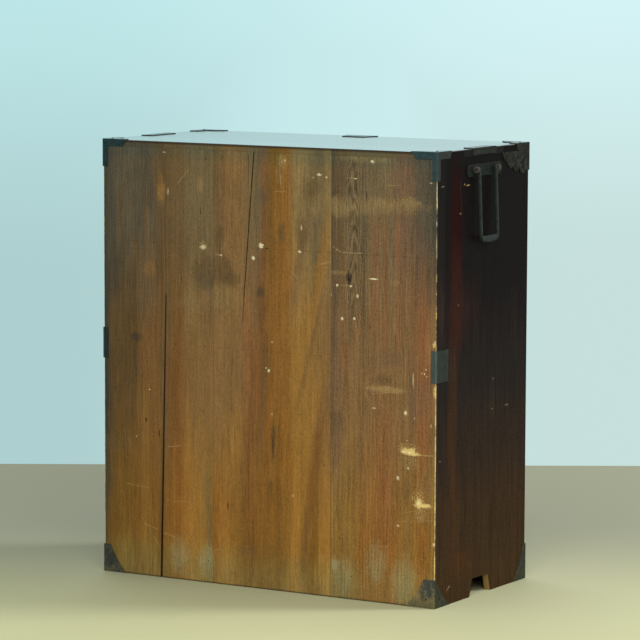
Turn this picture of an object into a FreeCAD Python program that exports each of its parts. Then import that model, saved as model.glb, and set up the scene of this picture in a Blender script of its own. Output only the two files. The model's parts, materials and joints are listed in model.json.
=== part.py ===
import FreeCAD, Part
import math
import os

from FreeCAD import Rotation, Vector

# Small tansu chest: a board case with four full-width drawers, planked back, iron edge
# fittings and a tall carrying bail on each side.
# Millimetres, +Z up. The drawer fronts face -Y and the planked back faces +Y.
# Everything is drawn about the middle of the case floor, then shifted along Y at the end so
# that the origin is the bottom centre of the whole object, handles included.

# ---- Case ----
case_width = 870.0
case_depth = 428.0
case_height = 1000.0
side_thickness = 16.0
top_thickness = 15.0
plank_thickness = 8.0
divider_thickness = 15.0
divider_centres = (770.5, 539.5, 294.5)
floor_board_z = (45.0, 57.0)
housing_depth = 5.0
corner_fingers = 7
edge_bevel = 1.5
plank_foot_gap = 0.8

# ---- Lifting notch in the lower edge of each side board ----
notch_height = 40.0
notch_top_width = 77.0
notch_foot_width = 100.0
notch_centre_y = 2.0

# ---- Back planks: joints between them, measured along X ----
joint_width = 0.4
joint_1_top_x = 265.0
joint_1_bend_z = 655.0
joint_1_foot_x = 278.5
joint_1_foot_opening = 2.6
joint_2_x = 137.0
joint_3_x = -169.5
split_top_x = 31.0
split_tip_x = 57.0
split_tip_z = 658.0
split_opening = 1.8

# ---- Base rail under the lowest drawer ----
rail_thickness = 16.0
rail_foot_z = 0.8

# ---- Drawers ----
drawer_inset = 2.0
drawer_side_gap = 0.8
drawer_under_gap = 0.5
drawer_over_gap = 1.2
drawer_rear_gap = 3.0
front_thickness = 18.0
drawer_wall = 10.0
drawer_back_thickness = 9.0
drawer_floor_thickness = 7.0
drawer_floor_lap = 5.0
front_lap = 7.0
drawer_fingers = 5
front_bevel = 1.5

# ---- Drawer bails and their eye posts ----
pull_centre_x = 215.0
pull_lift = 16.0
pull_leg_outer = 39.0
pull_bar = 7.0
pull_grip = 8.5
pull_bar_thickness = 6.0
pull_drop = 42.0
pull_belly = 2.5
pull_shoulder = 4.0
pull_corner = 11.0
pull_pin_radius = 2.7
pull_standoff = 8.1
pull_eye_width = 5.0
pull_eye_radius = 6.0
pull_eye_bore = 3.5
rosette_radius = 13.0
rosette_thickness = 1.6
rosette_sides = 8
plate_bevel = 1.5
eye_gap = 1.0
pin_root = 2.0
pin_end = 1.6
shank_size = 5.0
clench_length = 28.0
clench_width = 4.0
clench_thickness = 1.5

# ---- Drawer locks ----
lock_plate_radius = 27.0
lock_plate_sides = 16
lock_plate_thickness = 1.6
lock_plate_drop = 30.0
keyhole_width = 3.6
keyhole_height = 12.0
lock_case_width = 60.0
lock_case_height = 48.0
lock_case_thickness = 10.0
lock_case_drop = 1.0
lock_wall = 1.5
bolt_tongue_width = 22.0
bolt_head_width = 38.0
bolt_head_height = 20.0
bolt_thickness = 4.0
bolt_clearance = 0.4
bolt_travel = 8.0
bolt_tip_below_edge = 0.8
mortise_depth = 8.0
mortise_margin = 1.0

# ---- Iron edge fittings ----
iron = 1.6
corner_leg = 62.0
corner_face_leg = 66.0
corner_band = 15.0
corner_upright = 12.0
corner_upright_drop = 62.0
corner_top_band = 24.0
corner_slant = 13.0
strap_side_length = 110.0
strap_side_drop = 14.0
strap_top_reach = 26.0
front_strap_length = 83.0
front_strap_reach = 44.0
front_strap_drop = 15.0
mid_strap_z = (497.5, 568.5)
mid_strap_back_leg = 12.0
mid_strap_side_leg = 53.0
foot_floor_gap = 0.6
back_foot_height = 64.0
back_foot_side_leg = (5.0, 72.0, 9.0)
back_foot_face_legs = {-1: (27.0, 70.0, 3.0), 1: (16.5, 58.0, 3.0)}
front_foot_height = 82.0
front_foot_side_leg = (9.0, 56.0, 4.0)
front_foot_upright_foot = 50.0
front_foot_base = 50.0
plate_gap = 0.6
lobed_plate_length = 131.0
lobe_widths = (34.0, 31.0, 28.0, 18.0)
lobe_rises = (43.0, 37.0, 33.0, 20.0, 9.0)
lobe_belly = 0.36

# ---- Nails ----
nail_shank = 2.0
nail_length = 9.0
nail_head = 4.6
nail_crown = 1.8
nail_head_height = 1.2
nail_reach = 40.0
nail_upright_drop = 52.0
nail_top_reach = 20.0
nail_foot_reach = 20.0
nail_strap_inset = 11.0
nail_lobe_reach = 50.0
nail_lobe_drop = 22.0

# ---- Side carrying bails ----
carry_plate_length = 162.0
carry_plate_z = (939.0, 966.0)
carry_plate_thickness = 2.0
carry_plate_clip = 7.0
carry_pivot_z = 954.0
carry_standoff = 8.2
carry_post_spacing = 100.0
carry_leg_outer = 43.0
carry_bar = 9.0
carry_grip = 14.0
carry_bar_thickness = 8.0
carry_drop = 161.5
carry_belly = 1.5
carry_shoulder = 4.2
carry_corner = 20.0
carry_pin_radius = 3.2
carry_bore_clearance = 0.08
carry_lean = 2.2
carry_eye_width = 6.0
carry_eye_radius = 6.4
carry_clench_recess = 1.8
carry_clench_cover = 0.3

half_width = case_width / 2
half_depth = case_depth / 2
inner_half_width = half_width - side_thickness
plank_front_y = half_depth - plank_thickness
top_underside = case_height - top_thickness
drawer_face_y = -half_depth + drawer_inset

# How far a cutting tool runs past an open face.
overcut = 1.0

NODES = {}


# ---- Shape helpers ----
def block(x, y, z):
    """Box from its low and high values along each axis."""
    return Part.makeBox(x[1] - x[0], y[1] - y[0], z[1] - z[0], Vector(x[0], y[0], z[0]))


def mirrored(low, high, side):
    """The span low..high on the +X side, or its mirror image when side is -1."""
    return tuple(sorted((side * low, side * high)))


def centred(width):
    return -width / 2, width / 2


def outline(start, *legs):
    """Closed wire: a leg is the next corner, or (way point, end) for an arc."""
    edges = []
    here = start
    for leg in legs + (start,):
        if isinstance(leg, tuple):
            edges.append(Part.Arc(here, *leg).toShape())
            here = leg[1]
        elif (leg - here).Length > 1e-6:
            edges.append(Part.LineSegment(here, leg).toShape())
            here = leg
    return Part.Wire(edges)


def slab(wire, travel):
    """Solid swept straight from a flat closed wire."""
    return Part.Face(wire).extrude(travel)


def polygon(centre, normal, radius, sides=8):
    """Corners of a regular polygon across a direction, radius measured to its flats."""
    turn = Rotation(Vector(0, 0, 1), normal)
    reach = radius / math.cos(math.pi / sides)
    corners = []
    for i in range(sides):
        angle = (i + 0.5) * 2 * math.pi / sides
        spoke = Vector(reach * math.cos(angle), reach * math.sin(angle), 0)
        corners.append(centre + turn.multVec(spoke))
    return corners


def tapered(foot, head):
    """Flat-faced solid between two parallel polygons with matching corners."""
    rings = [foot, head] + [[foot[i - 1], foot[i], head[i], head[i - 1]] for i in range(len(foot))]
    shell = Part.makeShell([Part.Face(outline(*ring)) for ring in rings])
    shell.sewShape()
    solid = Part.makeSolid(shell)
    if solid.Volume < 0:
        solid.reverse()
    return solid


def dished(face, outward, radius, thickness, sides):
    """Round iron plate on a flat face, bevelled to its rim."""
    return tapered(polygon(face, outward, radius, sides),
                   polygon(face + outward * thickness, outward, radius - plate_bevel, sides))


def rod(start, direction, length, radius):
    """Turned round pin."""
    return Part.makeCylinder(radius, length, start, direction)


def bar(start, direction, length, radius, sides=8):
    """Hammered pin or eye with flats."""
    return slab(outline(*polygon(start, direction, radius, sides)), direction * length)


def fused(shapes):
    """One clean solid from touching shapes."""
    return shapes[0].multiFuse(shapes[1:]).removeSplitter()


def spans(low, high, count):
    """Equal neighbouring spans between two values."""
    step = (high - low) / count
    return [(low + i * step, low + (i + 1) * step) for i in range(count)]


def arc_way(corner_x, corner_z, radius, inward):
    """Middle of a quarter-circle arc that rounds a square lower corner."""
    cut = radius * (1 - math.sqrt(0.5))
    return corner_x + inward * cut, corner_z + cut


# ---- Case boards ----
def shelf_spans():
    """Heights of the three dividers and the floor board, from the top down."""
    half = divider_thickness / 2
    return [(z - half, z + half) for z in divider_centres] + [floor_board_z]


def shelf(z):
    """A full-depth board held in the side housings."""
    return block(centred(2 * (inner_half_width + housing_depth)), (-half_depth, plank_front_y), z)


def bolt_mortise(underside):
    """Blind mortise that the lock bolt of the drawer below rises into."""
    middle = bolt_centre_y()
    half_y = bolt_thickness / 2 + mortise_margin
    return block(centred(bolt_tongue_width + 2 * mortise_margin), (middle - half_y, middle + half_y),
                 (underside - overcut, underside + mortise_depth))


def finger_rows():
    """Places along Y where the side boards rise through the top board."""
    return spans(-half_depth, half_depth, corner_fingers)[1::2]


def eased_edges():
    """Three-sided cuts that bevel the long outer edges of the case."""
    b, w, d, h = edge_bevel, half_width, half_depth, case_height
    tools = []
    for s in (-1, 1):
        tools.append(slab(outline(Vector(s * w, -d, h), Vector(s * (w - b), -d, h),
                                  Vector(s * w, -d, h - b)), Vector(0, 2 * d, 0)))
        tools.append(slab(outline(Vector(-w, s * d, h), Vector(-w, s * (d - b), h),
                                  Vector(-w, s * d, h - b)), Vector(2 * w, 0, 0)))
        for t in (-1, 1):
            tools.append(slab(outline(Vector(s * w, t * d, 0), Vector(s * (w - b), t * d, 0),
                                      Vector(s * w, t * (d - b), 0)), Vector(0, 0, h)))
    return tools


def side_board(side):
    """Side with finger joints on top, housings for the shelves and a lifting notch."""
    x = side * half_width
    front, back, head = -half_depth, plank_front_y, top_underside
    half_top, half_foot = notch_top_width / 2, notch_foot_width / 2
    profile = outline(
        Vector(x, front, 0), Vector(x, notch_centre_y - half_foot, 0),
        Vector(x, notch_centre_y - half_top, notch_height),
        Vector(x, notch_centre_y + half_top, notch_height),
        Vector(x, notch_centre_y + half_foot, 0), Vector(x, back, 0),
        Vector(x, back, head), Vector(x, front, head))
    board = slab(profile, Vector(-side * side_thickness, 0, 0))
    across = mirrored(inner_half_width, half_width, side)
    fingers = [block(across, row, (head, case_height)) for row in finger_rows()]
    housed = mirrored(inner_half_width, inner_half_width + housing_depth, side)
    housings = [block(housed, (front, back), z) for z in shelf_spans()]
    return fused([board] + fingers).cut(housings)


def top_board():
    board = block(centred(case_width), centred(case_depth), (top_underside, case_height))
    slots = [bolt_mortise(top_underside)]
    for side in (-1, 1):
        for row in finger_rows():
            slots.append(block(mirrored(inner_half_width, half_width + overcut, side), row,
                               (top_underside, case_height)))
    return board.cut(slots)


def base_rail():
    return block(centred(2 * inner_half_width), (-half_depth, -half_depth + rail_thickness),
                 (rail_foot_z, floor_board_z[0]))


def back_planks():
    """Four upright planks. The joint between the first two opens towards the floor, and the
    third has a drying split that runs down from its top."""
    foot, head, y = plank_foot_gap, top_underside, plank_front_y
    through = Vector(0, plank_thickness, 0)
    gap = joint_width / 2

    def straight(x):
        return [(x, head), (x, foot)]

    def opening(direction):
        return [(joint_1_top_x + direction * gap, head),
                (joint_1_top_x + direction * gap, joint_1_bend_z),
                (joint_1_foot_x + direction * joint_1_foot_opening / 2, foot)]

    near_edges = [straight(half_width), opening(-1), straight(joint_2_x - gap), straight(joint_3_x - gap)]
    far_edges = [opening(1), straight(joint_2_x + gap), straight(joint_3_x + gap), straight(-half_width)]
    planks = []
    for near, far in zip(near_edges, far_edges):
        corners = [Vector(x, y, z) for x, z in near + far[::-1]]
        planks.append(slab(outline(*corners), through))
    split = slab(outline(Vector(split_top_x - split_opening / 2, y, head),
                         Vector(split_top_x + split_opening / 2, y, head),
                         Vector(split_tip_x, y, split_tip_z)), through)
    planks[2] = planks[2].cut(split)
    return planks


# ---- Iron fittings: flat legs that meet at a folded edge ----
def corner_point(side, face):
    """Maps (in from the side, in from the front or back, height) to a place at one corner."""
    def place(across, along, z):
        return Vector(side * (half_width - across), face * (half_depth - along), z)
    return place


def leg_plate(place, corners, travel):
    return slab(outline(*[place(*corner) for corner in corners]), travel)


def top_corner_iron(side, face):
    """Folded L shapes on the top, the side and the back or front of one top corner."""
    place = corner_point(side, face)
    t, h, leg, wide, cut = iron, case_height, corner_leg, corner_top_band, corner_slant
    face_leg, up = corner_face_leg, corner_upright
    under, foot, wrap = h - corner_band, h - corner_upright_drop, h + t
    on_side = [(0, -t, wrap), (0, leg, wrap), (0, leg - cut / 2, under), (0, up, under),
               (0, up, foot), (0, -t, foot)]
    on_face = [(-t, 0, wrap), (face_leg, 0, wrap), (face_leg - cut, 0, under), (up, 0, under),
               (up, 0, foot), (-t, 0, foot)]
    on_top = [(-t, -t, h), (-t, leg, h), (wide - cut, leg, h), (wide, leg - cut, h), (wide, wide, h),
              (leg - cut, wide, h), (leg, wide - cut, h), (leg, -t, h)]
    return fused([leg_plate(place, on_side, Vector(side * t, 0, 0)),
                  leg_plate(place, on_face, Vector(0, face * t, 0)),
                  leg_plate(place, on_top, Vector(0, 0, t))])


def side_edge_strap(side):
    """Strap folded over the middle of a side top edge."""
    t, h, half, x = iron, case_height, strap_side_length / 2, side * half_width
    inner_x, inner_half = x - side * strap_top_reach, half - corner_slant / 2
    down = block(mirrored(half_width, half_width + t, side), (-half, half),
                 (h - strap_side_drop, h + t))
    over = slab(outline(Vector(x, -half, h), Vector(x, half, h), Vector(inner_x, inner_half, h),
                        Vector(inner_x, -inner_half, h)), Vector(0, 0, t))
    return fused([down, over])


def front_edge_strap():
    """Strap folded over the middle of the front top edge."""
    t, h, half, y = iron, case_height, front_strap_length / 2, -half_depth
    inner_y, inner_half = y + front_strap_reach, half - corner_slant
    down = block((-half, half), (y - t, y), (h - front_strap_drop, h + t))
    over = slab(outline(Vector(-half, y, h), Vector(half, y, h), Vector(inner_half, inner_y, h),
                        Vector(-inner_half, inner_y, h)), Vector(0, 0, t))
    return fused([down, over])


def mid_strap(side):
    """Strap folded round a back upright edge at the height of the middle divider."""
    t, w, d = iron, half_width, half_depth
    on_side = block(mirrored(w, w + t, side), (d - mid_strap_side_leg, d + t), mid_strap_z)
    on_back = block(mirrored(w - mid_strap_back_leg, w + t, side), (d, d + t), mid_strap_z)
    return fused([on_side, on_back])


def foot_leg(at, height, shape, travel):
    """One leg of a foot shoe. shape is its width on top, its width on the floor and how far
    its slanted edge is hollowed."""
    top, base, hollow = shape
    foot, rise, run = foot_floor_gap, height - foot_floor_gap, base - top
    slope = math.hypot(rise, run)
    way = at((top + base) / 2 - hollow * rise / slope, foot + rise / 2 - hollow * run / slope)
    wire = outline(at(-iron, foot), at(-iron, height), at(top, height), (way, at(base, foot)))
    return slab(wire, travel)


def back_foot_iron(side):
    place = corner_point(side, 1)
    on_side = foot_leg(lambda u, z: place(0, u, z), back_foot_height, back_foot_side_leg,
                       Vector(side * iron, 0, 0))
    on_back = foot_leg(lambda u, z: place(u, 0, z), back_foot_height, back_foot_face_legs[side],
                       Vector(0, iron, 0))
    return fused([on_side, on_back])


def front_foot_iron(side):
    """Its front leg narrows to the edge of the side board above the base rail, clear of the
    lowest drawer."""
    place = corner_point(side, -1)
    on_side = foot_leg(lambda u, z: place(0, u, z), front_foot_height, front_foot_side_leg,
                       Vector(side * iron, 0, 0))
    foot, up = foot_floor_gap, corner_upright
    on_front = [(-iron, 0, foot), (-iron, 0, front_foot_height), (up, 0, front_foot_height),
                (up, 0, front_foot_upright_foot), (front_foot_base, 0, foot)]
    return fused([on_side, leg_plate(place, on_front, Vector(0, -iron, 0))])


def lobed_plate(side):
    """Cloud-shaped plate under the front top corner iron, on the side board. A row of lobes
    hangs along its lower edge and climbs away from the front."""
    place = corner_point(side, -1)

    def at(u, z):
        return place(0, u, z)

    near, far = corner_upright + plate_gap, lobed_plate_length
    head = case_height - corner_band - plate_gap
    ends = [(near, head - lobe_rises[0])]
    for width, rise in zip(lobe_widths, lobe_rises[1:]):
        ends.append((ends[-1][0] + width, head - rise))
    legs = []
    for (u0, z0), (u1, z1) in zip(ends, ends[1:]):
        belly = at((u0 + u1) / 2, (z0 + z1) / 2 - lobe_belly * (u1 - u0))
        legs.append((belly, at(u1, z1)))
    wire = outline(at(near, head), at(*ends[0]), *legs, at(far, head))
    return slab(wire, Vector(side * iron, 0, 0))


# ---- Nails of the edge irons ----
def nail_at(place, outward):
    """Hand-cut nail: square shank and low four-sided head that sits at place."""
    shank = block(centred(nail_shank), centred(nail_shank), (-nail_length, 0))
    up = Vector(0, 0, 1)
    head = tapered(polygon(Vector(0, 0, 0), up, nail_head / 2, 4),
                   polygon(up * nail_head_height, up, nail_crown / 2, 4))
    nail = fused([shank, head])
    nail.Placement = FreeCAD.Placement(place, Rotation(up, outward))
    return nail


def case_nails():
    """Nails of every edge iron, each sitting on the outside of its plate."""
    w, d, h = half_width, half_depth, case_height
    band_z = h - corner_band / 2
    up = Vector(0, 0, 1)
    nails = []
    for side in (-1, 1):
        sideways = Vector(side, 0, 0)
        out_x = side * (w + iron)
        for face in (-1, 1):
            facing = Vector(0, face, 0)
            out_y = face * (d + iron)
            foot_x, foot_y = side * (w - nail_foot_reach), face * (d - nail_foot_reach)
            upright_x, upright_z = side * (w - corner_upright / 2), h - nail_upright_drop
            top_x, top_y = side * (w - corner_top_band / 2), face * (d - nail_top_reach)
            nails += [nail_at(Vector(out_x, face * (d - nail_reach), band_z), sideways),
                      nail_at(Vector(side * (w - nail_reach), out_y, band_z), facing),
                      nail_at(Vector(upright_x, out_y, upright_z), facing),
                      nail_at(Vector(top_x, top_y, h + iron), up),
                      nail_at(Vector(out_x, foot_y, nail_foot_reach), sideways),
                      nail_at(Vector(foot_x, out_y, nail_foot_reach), facing)]
        nails += [nail_at(Vector(out_x, along, band_z), sideways)
                  for along in centred(strap_side_length - 2 * nail_strap_inset)]
        nails += [nail_at(Vector(out_x, d - nail_reach, sum(mid_strap_z) / 2), sideways),
                  nail_at(Vector(out_x, nail_lobe_reach - d, band_z - nail_lobe_drop), sideways)]
    nails += [nail_at(Vector(across, -d - iron, band_z), Vector(0, -1, 0))
              for across in centred(front_strap_length - 2 * nail_strap_inset)]
    return nails


# ---- Eye posts and bails, drawn with the hinge axis along X and outward along -Y ----
def eye_post(width, radius, bore, depth, clench):
    """Forged eye on a square shank that is clenched behind the board."""
    eye = bar(Vector(-width / 2, 0, 0), Vector(1, 0, 0), width, radius)
    shank = block(centred(shank_size), (0, depth), centred(shank_size))
    return fused([eye, shank, clench]).cut(bore)


def bail(outer, bars, top, drop, corner, belly, thickness, pins):
    """Forged square-section U with a bowed foot and round outer corners. outer is its half
    width, and bars are the widths of its legs and its foot."""
    leg, foot = bars
    inner, sill = outer - leg, foot - drop

    def at(x, z):
        return Vector(x, -thickness / 2, z)

    wire = outline(
        at(-outer, top), at(-outer, corner - drop),
        (at(*arc_way(-outer, -drop, corner, 1)), at(corner - outer, -drop)),
        (at(0, -drop - belly), at(outer - corner, -drop)),
        (at(*arc_way(outer, -drop, corner, -1)), at(outer, corner - drop)),
        at(outer, top), at(inner, top), at(inner, sill), at(-inner, sill), at(-inner, top))
    return fused([slab(wire, Vector(0, thickness, 0))] + pins)


def bail_pins(make, outer, tip, radius):
    """Pins that run from the shoulders of a bail out through its eyes."""
    root = outer - pin_root
    return [make(Vector(end * root, 0, 0), Vector(end, 0, 0), tip - root, radius) for end in (-1, 1)]


# ---- Side carrying bails ----
def set_on_side(shape, side):
    """Turns a fitting to face out from one side board and puts it at the pivot."""
    shape.rotate(Vector(0, 0, 0), Vector(0, 0, 1), side * 90)
    shape.translate(Vector(side * (half_width + carry_standoff), 0, carry_pivot_z))
    return shape


def carry_posts(side):
    """Eye posts with round bores. Their clenched ends lie sunk in the inner face of the side."""
    behind = carry_standoff + side_thickness
    posts = []
    for along in centred(carry_post_spacing):
        clench = block(centred(clench_width),
                       (behind - carry_clench_recess, behind - carry_clench_cover),
                       centred(clench_length))
        bore = rod(Vector(-carry_eye_width, 0, 0), Vector(1, 0, 0), 2 * carry_eye_width,
                   carry_pin_radius + carry_bore_clearance)
        post = eye_post(carry_eye_width, carry_eye_radius, bore, behind - carry_clench_recess, clench)
        post.translate(Vector(along, 0, 0))
        posts.append(set_on_side(post, side))
    return posts


def clench_recesses(side):
    """Open recesses in the inner face of a side board round the clenched ends."""
    x = mirrored(inner_half_width - overcut, inner_half_width + carry_clench_recess, side)
    z = (carry_pivot_z - clench_length / 2, carry_pivot_z + clench_length / 2)
    half = clench_width / 2
    return [block(x, (y - half, y + half), z) for y in centred(carry_post_spacing)]


def carry_plate(side):
    """Back plate with clipped corners."""
    x, (low, high) = side * half_width, carry_plate_z
    half, clip = carry_plate_length / 2, carry_plate_clip
    corners = [(-half, low + clip), (-half + clip, low), (half - clip, low), (half, low + clip),
               (half, high - clip), (half - clip, high), (-half + clip, high), (-half, high - clip)]
    wire = outline(*[Vector(x, y, z) for y, z in corners])
    return slab(wire, Vector(side * carry_plate_thickness, 0, 0))


def carry_bail(side):
    """Tall bail with a deep foot for the hand. It hangs with the foot a little further out
    than the eyes."""
    tip = (carry_post_spacing + carry_eye_width) / 2 + pin_end
    shape = bail(carry_leg_outer, (carry_bar, carry_grip), carry_shoulder, carry_drop,
                 carry_corner, carry_belly, carry_bar_thickness,
                 bail_pins(rod, carry_leg_outer, tip, carry_pin_radius))
    shape.rotate(Vector(0, 0, 0), Vector(1, 0, 0), -carry_lean)
    return set_on_side(shape, side)


# ---- Drawers ----
def drawer_spans():
    """Low and high Z of each drawer, from the top drawer down."""
    tops = [top_underside] + [low for low, high in shelf_spans()[:-1]]
    floors = [high for low, high in shelf_spans()]
    return [(floor + drawer_under_gap, top - drawer_over_gap) for floor, top in zip(floors, tops)]


def drawer_inside_y():
    """Y of the inner face of the drawer fronts."""
    return drawer_face_y + front_thickness


def drawer_boards(low, high):
    """Front, pair of sides, back and bottom of one drawer. The sides meet the front in lapped
    fingers and the back in through fingers, and the bottom lies in a rabbet underneath."""
    half = inner_half_width - drawer_side_gap
    inner = half - drawer_wall
    front_y = (drawer_face_y, drawer_inside_y())
    back_end = plank_front_y - drawer_rear_gap
    back_y = (back_end - drawer_back_thickness, back_end)
    floor = (low, low + drawer_floor_thickness)
    bottom = block(centred(2 * (half - drawer_floor_lap)), (front_y[1] - drawer_floor_lap, back_end), floor)
    rows = spans(low, high, drawer_fingers)

    sides = []
    for side in (-1, 1):
        across = mirrored(inner, half, side)
        pieces = [block(across, (front_y[1], back_y[0]), (low, high))]
        for row in rows[0::2]:
            pieces.append(block(across, (drawer_face_y + front_lap, front_y[1]), row))
            pieces.append(block(across, back_y, row))
        sides.append(fused(pieces).cut(bottom))

    front = bevelled_front(half, front_y, low, high).cut([bottom] + sides)
    back = [block(centred(2 * inner), back_y, (floor[1], high))]
    for side in (-1, 1):
        back += [block(mirrored(inner, half, side), back_y, row) for row in rows[1::2]]
    return front, sides, fused(back), bottom


def bevelled_front(half, span_y, low, high):
    """Drawer front whose face edges are eased all round."""
    def ring(inset, y):
        x, foot, head = half - inset, low + inset, high - inset
        return [Vector(-x, y, foot), Vector(x, y, foot), Vector(x, y, head), Vector(-x, y, head)]

    shoulder = span_y[0] + front_bevel
    face = tapered(ring(0, shoulder), ring(front_bevel, span_y[0]))
    return fused([face, block(centred(2 * half), (shoulder, span_y[1]), (low, high))])


def pull_pivot(side, low, high):
    return Vector(side * pull_centre_x, drawer_face_y - pull_standoff, (low + high) / 2 + pull_lift)


def pull_mounts(pivot):
    """Two eye posts of one bail, and the rosettes that they pass through."""
    behind = pull_standoff + front_thickness
    posts, rosettes = [], []
    for end in (-1, 1):
        clench = block(centred(clench_length), (behind, behind + clench_thickness), centred(clench_width))
        bore = bar(Vector(-pull_eye_width, 0, 0), Vector(1, 0, 0), 2 * pull_eye_width, pull_eye_bore)
        post = eye_post(pull_eye_width, pull_eye_radius, bore, behind, clench)
        rosette = dished(Vector(0, pull_standoff, 0), Vector(0, -1, 0), rosette_radius,
                         rosette_thickness, rosette_sides).cut(post)
        place = pivot + Vector(end * (pull_leg_outer + eye_gap + pull_eye_width / 2), 0, 0)
        for shape, group in ((post, posts), (rosette, rosettes)):
            shape.translate(place)
            group.append(shape)
    return posts, rosettes


def pull_bail(pivot):
    """Bail of one drawer handle."""
    tip = pull_leg_outer + eye_gap + pull_eye_width + pin_end
    shape = bail(pull_leg_outer, (pull_bar, pull_grip), pull_shoulder, pull_drop,
                 pull_corner, pull_belly, pull_bar_thickness,
                 bail_pins(bar, pull_leg_outer, tip, pull_pin_radius))
    shape.translate(pivot)
    return shape


# ---- Drawer locks ----
def bolt_centre_y():
    return drawer_inside_y() + lock_case_thickness / 2


def bolt_floor(high):
    """Height of the bolt's foot when the lock is open."""
    return high - lock_case_drop - lock_case_height + lock_wall + bolt_clearance


def keyhole(high):
    """Upright slot through the lock plate and the drawer front."""
    centre = high - lock_plate_drop
    return block(centred(keyhole_width), (drawer_face_y - 2 * lock_plate_thickness, drawer_inside_y()),
                 (centre - keyhole_height / 2, centre + keyhole_height / 2))


def lock_plate(high):
    """Round plate on the face of the drawer front."""
    plate = dished(Vector(0, drawer_face_y, high - lock_plate_drop), Vector(0, -1, 0),
                   lock_plate_radius, lock_plate_thickness, lock_plate_sides)
    return plate.cut(keyhole(high))


def lock_case(high):
    """Hollow case on the inside of a drawer front, open on top for the bolt's tongue."""
    inside, top = drawer_inside_y(), high - lock_case_drop
    case = block(centred(lock_case_width), (inside, inside + lock_case_thickness),
                 (top - lock_case_height, top))
    half_y = bolt_thickness / 2 + bolt_clearance
    deep = (bolt_centre_y() - half_y, bolt_centre_y() + half_y)
    well_floor = bolt_floor(high) - bolt_clearance
    well_top = bolt_floor(high) + bolt_head_height + bolt_travel + bolt_clearance
    well = block(centred(bolt_head_width + 2 * bolt_clearance), deep, (well_floor, well_top))
    mouth = block(centred(bolt_tongue_width + 2 * bolt_clearance), deep,
                  (well_top - overcut, top + overcut))
    return case.cut([well, mouth])


def lock_bolt(high):
    """T-shaped bolt at rest, its tongue just below the top edge of the drawer front."""
    y = (bolt_centre_y() - bolt_thickness / 2, bolt_centre_y() + bolt_thickness / 2)
    floor = bolt_floor(high)
    head = block(centred(bolt_head_width), y, (floor, floor + bolt_head_height))
    tongue = block(centred(bolt_tongue_width), y, (floor, high - bolt_tip_below_edge))
    return fused([head, tongue])


# ---- The whole chest ----
def add_drawer(number, low, high):
    name = f"drawer_{number}"
    front, sides, back, bottom = drawer_boards(low, high)
    mounts = []
    for where, side in (("left", -1), ("right", 1)):
        pivot = pull_pivot(side, low, high)
        posts, rosettes = pull_mounts(pivot)
        front = front.cut(posts)
        mounts += posts + rosettes
        NODES[f"{name}_handle_{where}"] = [pull_bail(pivot)]
    NODES[f"{name}_front"] = [front.cut(keyhole(high))]
    NODES[f"{name}_sides"] = sides
    NODES[f"{name}_back"] = [back]
    NODES[f"{name}_bottom"] = [bottom]
    NODES[f"{name}_handle_mounts"] = mounts
    NODES[f"{name}_lock"] = [lock_plate(high), lock_case(high)]
    NODES[f"{name}_lock_bolt"] = [lock_bolt(high)]


def add_case():
    sides = (-1, 1)
    nails = case_nails()
    posts = [post for side in sides for post in carry_posts(side)]
    recesses = [recess for side in sides for recess in clench_recesses(side)]
    cuts = eased_edges() + nails + posts + recesses
    boards = {
        "side_left": side_board(-1), "side_right": side_board(1), "top_board": top_board(),
        "bottom_board": shelf(floor_board_z), "base_rail": base_rail(),
    }
    for number, z in enumerate(shelf_spans()[:-1], start=1):
        boards[f"drawer_divider_{number}"] = shelf(z).cut(bolt_mortise(z[0]))
    for number, plank in enumerate(back_planks(), start=1):
        boards[f"back_plank_{number}"] = plank
    for name, board in boards.items():
        NODES[name] = [board.cut(cuts)]

    plates = {
        "top_corner_irons_back": [top_corner_iron(side, 1) for side in sides],
        "top_corner_irons_front": [top_corner_iron(side, -1) for side in sides],
        "lobed_corner_plates": [lobed_plate(side) for side in sides],
        "top_edge_straps": [side_edge_strap(-1), side_edge_strap(1), front_edge_strap()],
        "mid_straps": [mid_strap(side) for side in sides],
        "foot_irons_back": [back_foot_iron(side) for side in sides],
        "foot_irons_front": [front_foot_iron(side) for side in sides],
        "side_handle_plates": [carry_plate(side) for side in sides],
    }
    for name, irons in plates.items():
        NODES[name] = [plate.cut(nails + posts) for plate in irons]
    NODES["side_handle_posts"] = posts
    NODES["iron_nails"] = nails
    NODES["side_handle_left"] = [carry_bail(-1)]
    NODES["side_handle_right"] = [carry_bail(1)]


def origin_shift():
    """Y shift that puts the origin midway between the drawer pulls and the back nail heads."""
    front_reach = pull_standoff + pull_eye_radius - drawer_face_y
    back_reach = half_depth + iron + nail_head_height
    return (front_reach - back_reach) / 2


def main():
    add_case()
    for number, (low, high) in enumerate(drawer_spans(), start=1):
        add_drawer(number, low, high)
    os.makedirs("parts", exist_ok=True)
    for name, solids in NODES.items():
        shape = solids[0] if len(solids) == 1 else Part.makeCompound(solids)
        shape.translate(Vector(0, origin_shift(), 0))
        shape.exportStep(f"parts/{name}.step")


main()
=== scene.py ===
"""Looks of an old chest of four drawers, seen from behind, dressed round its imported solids."""
import json
import math

import bmesh
import bpy
from mathutils import Matrix, Vector, noise

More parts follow.
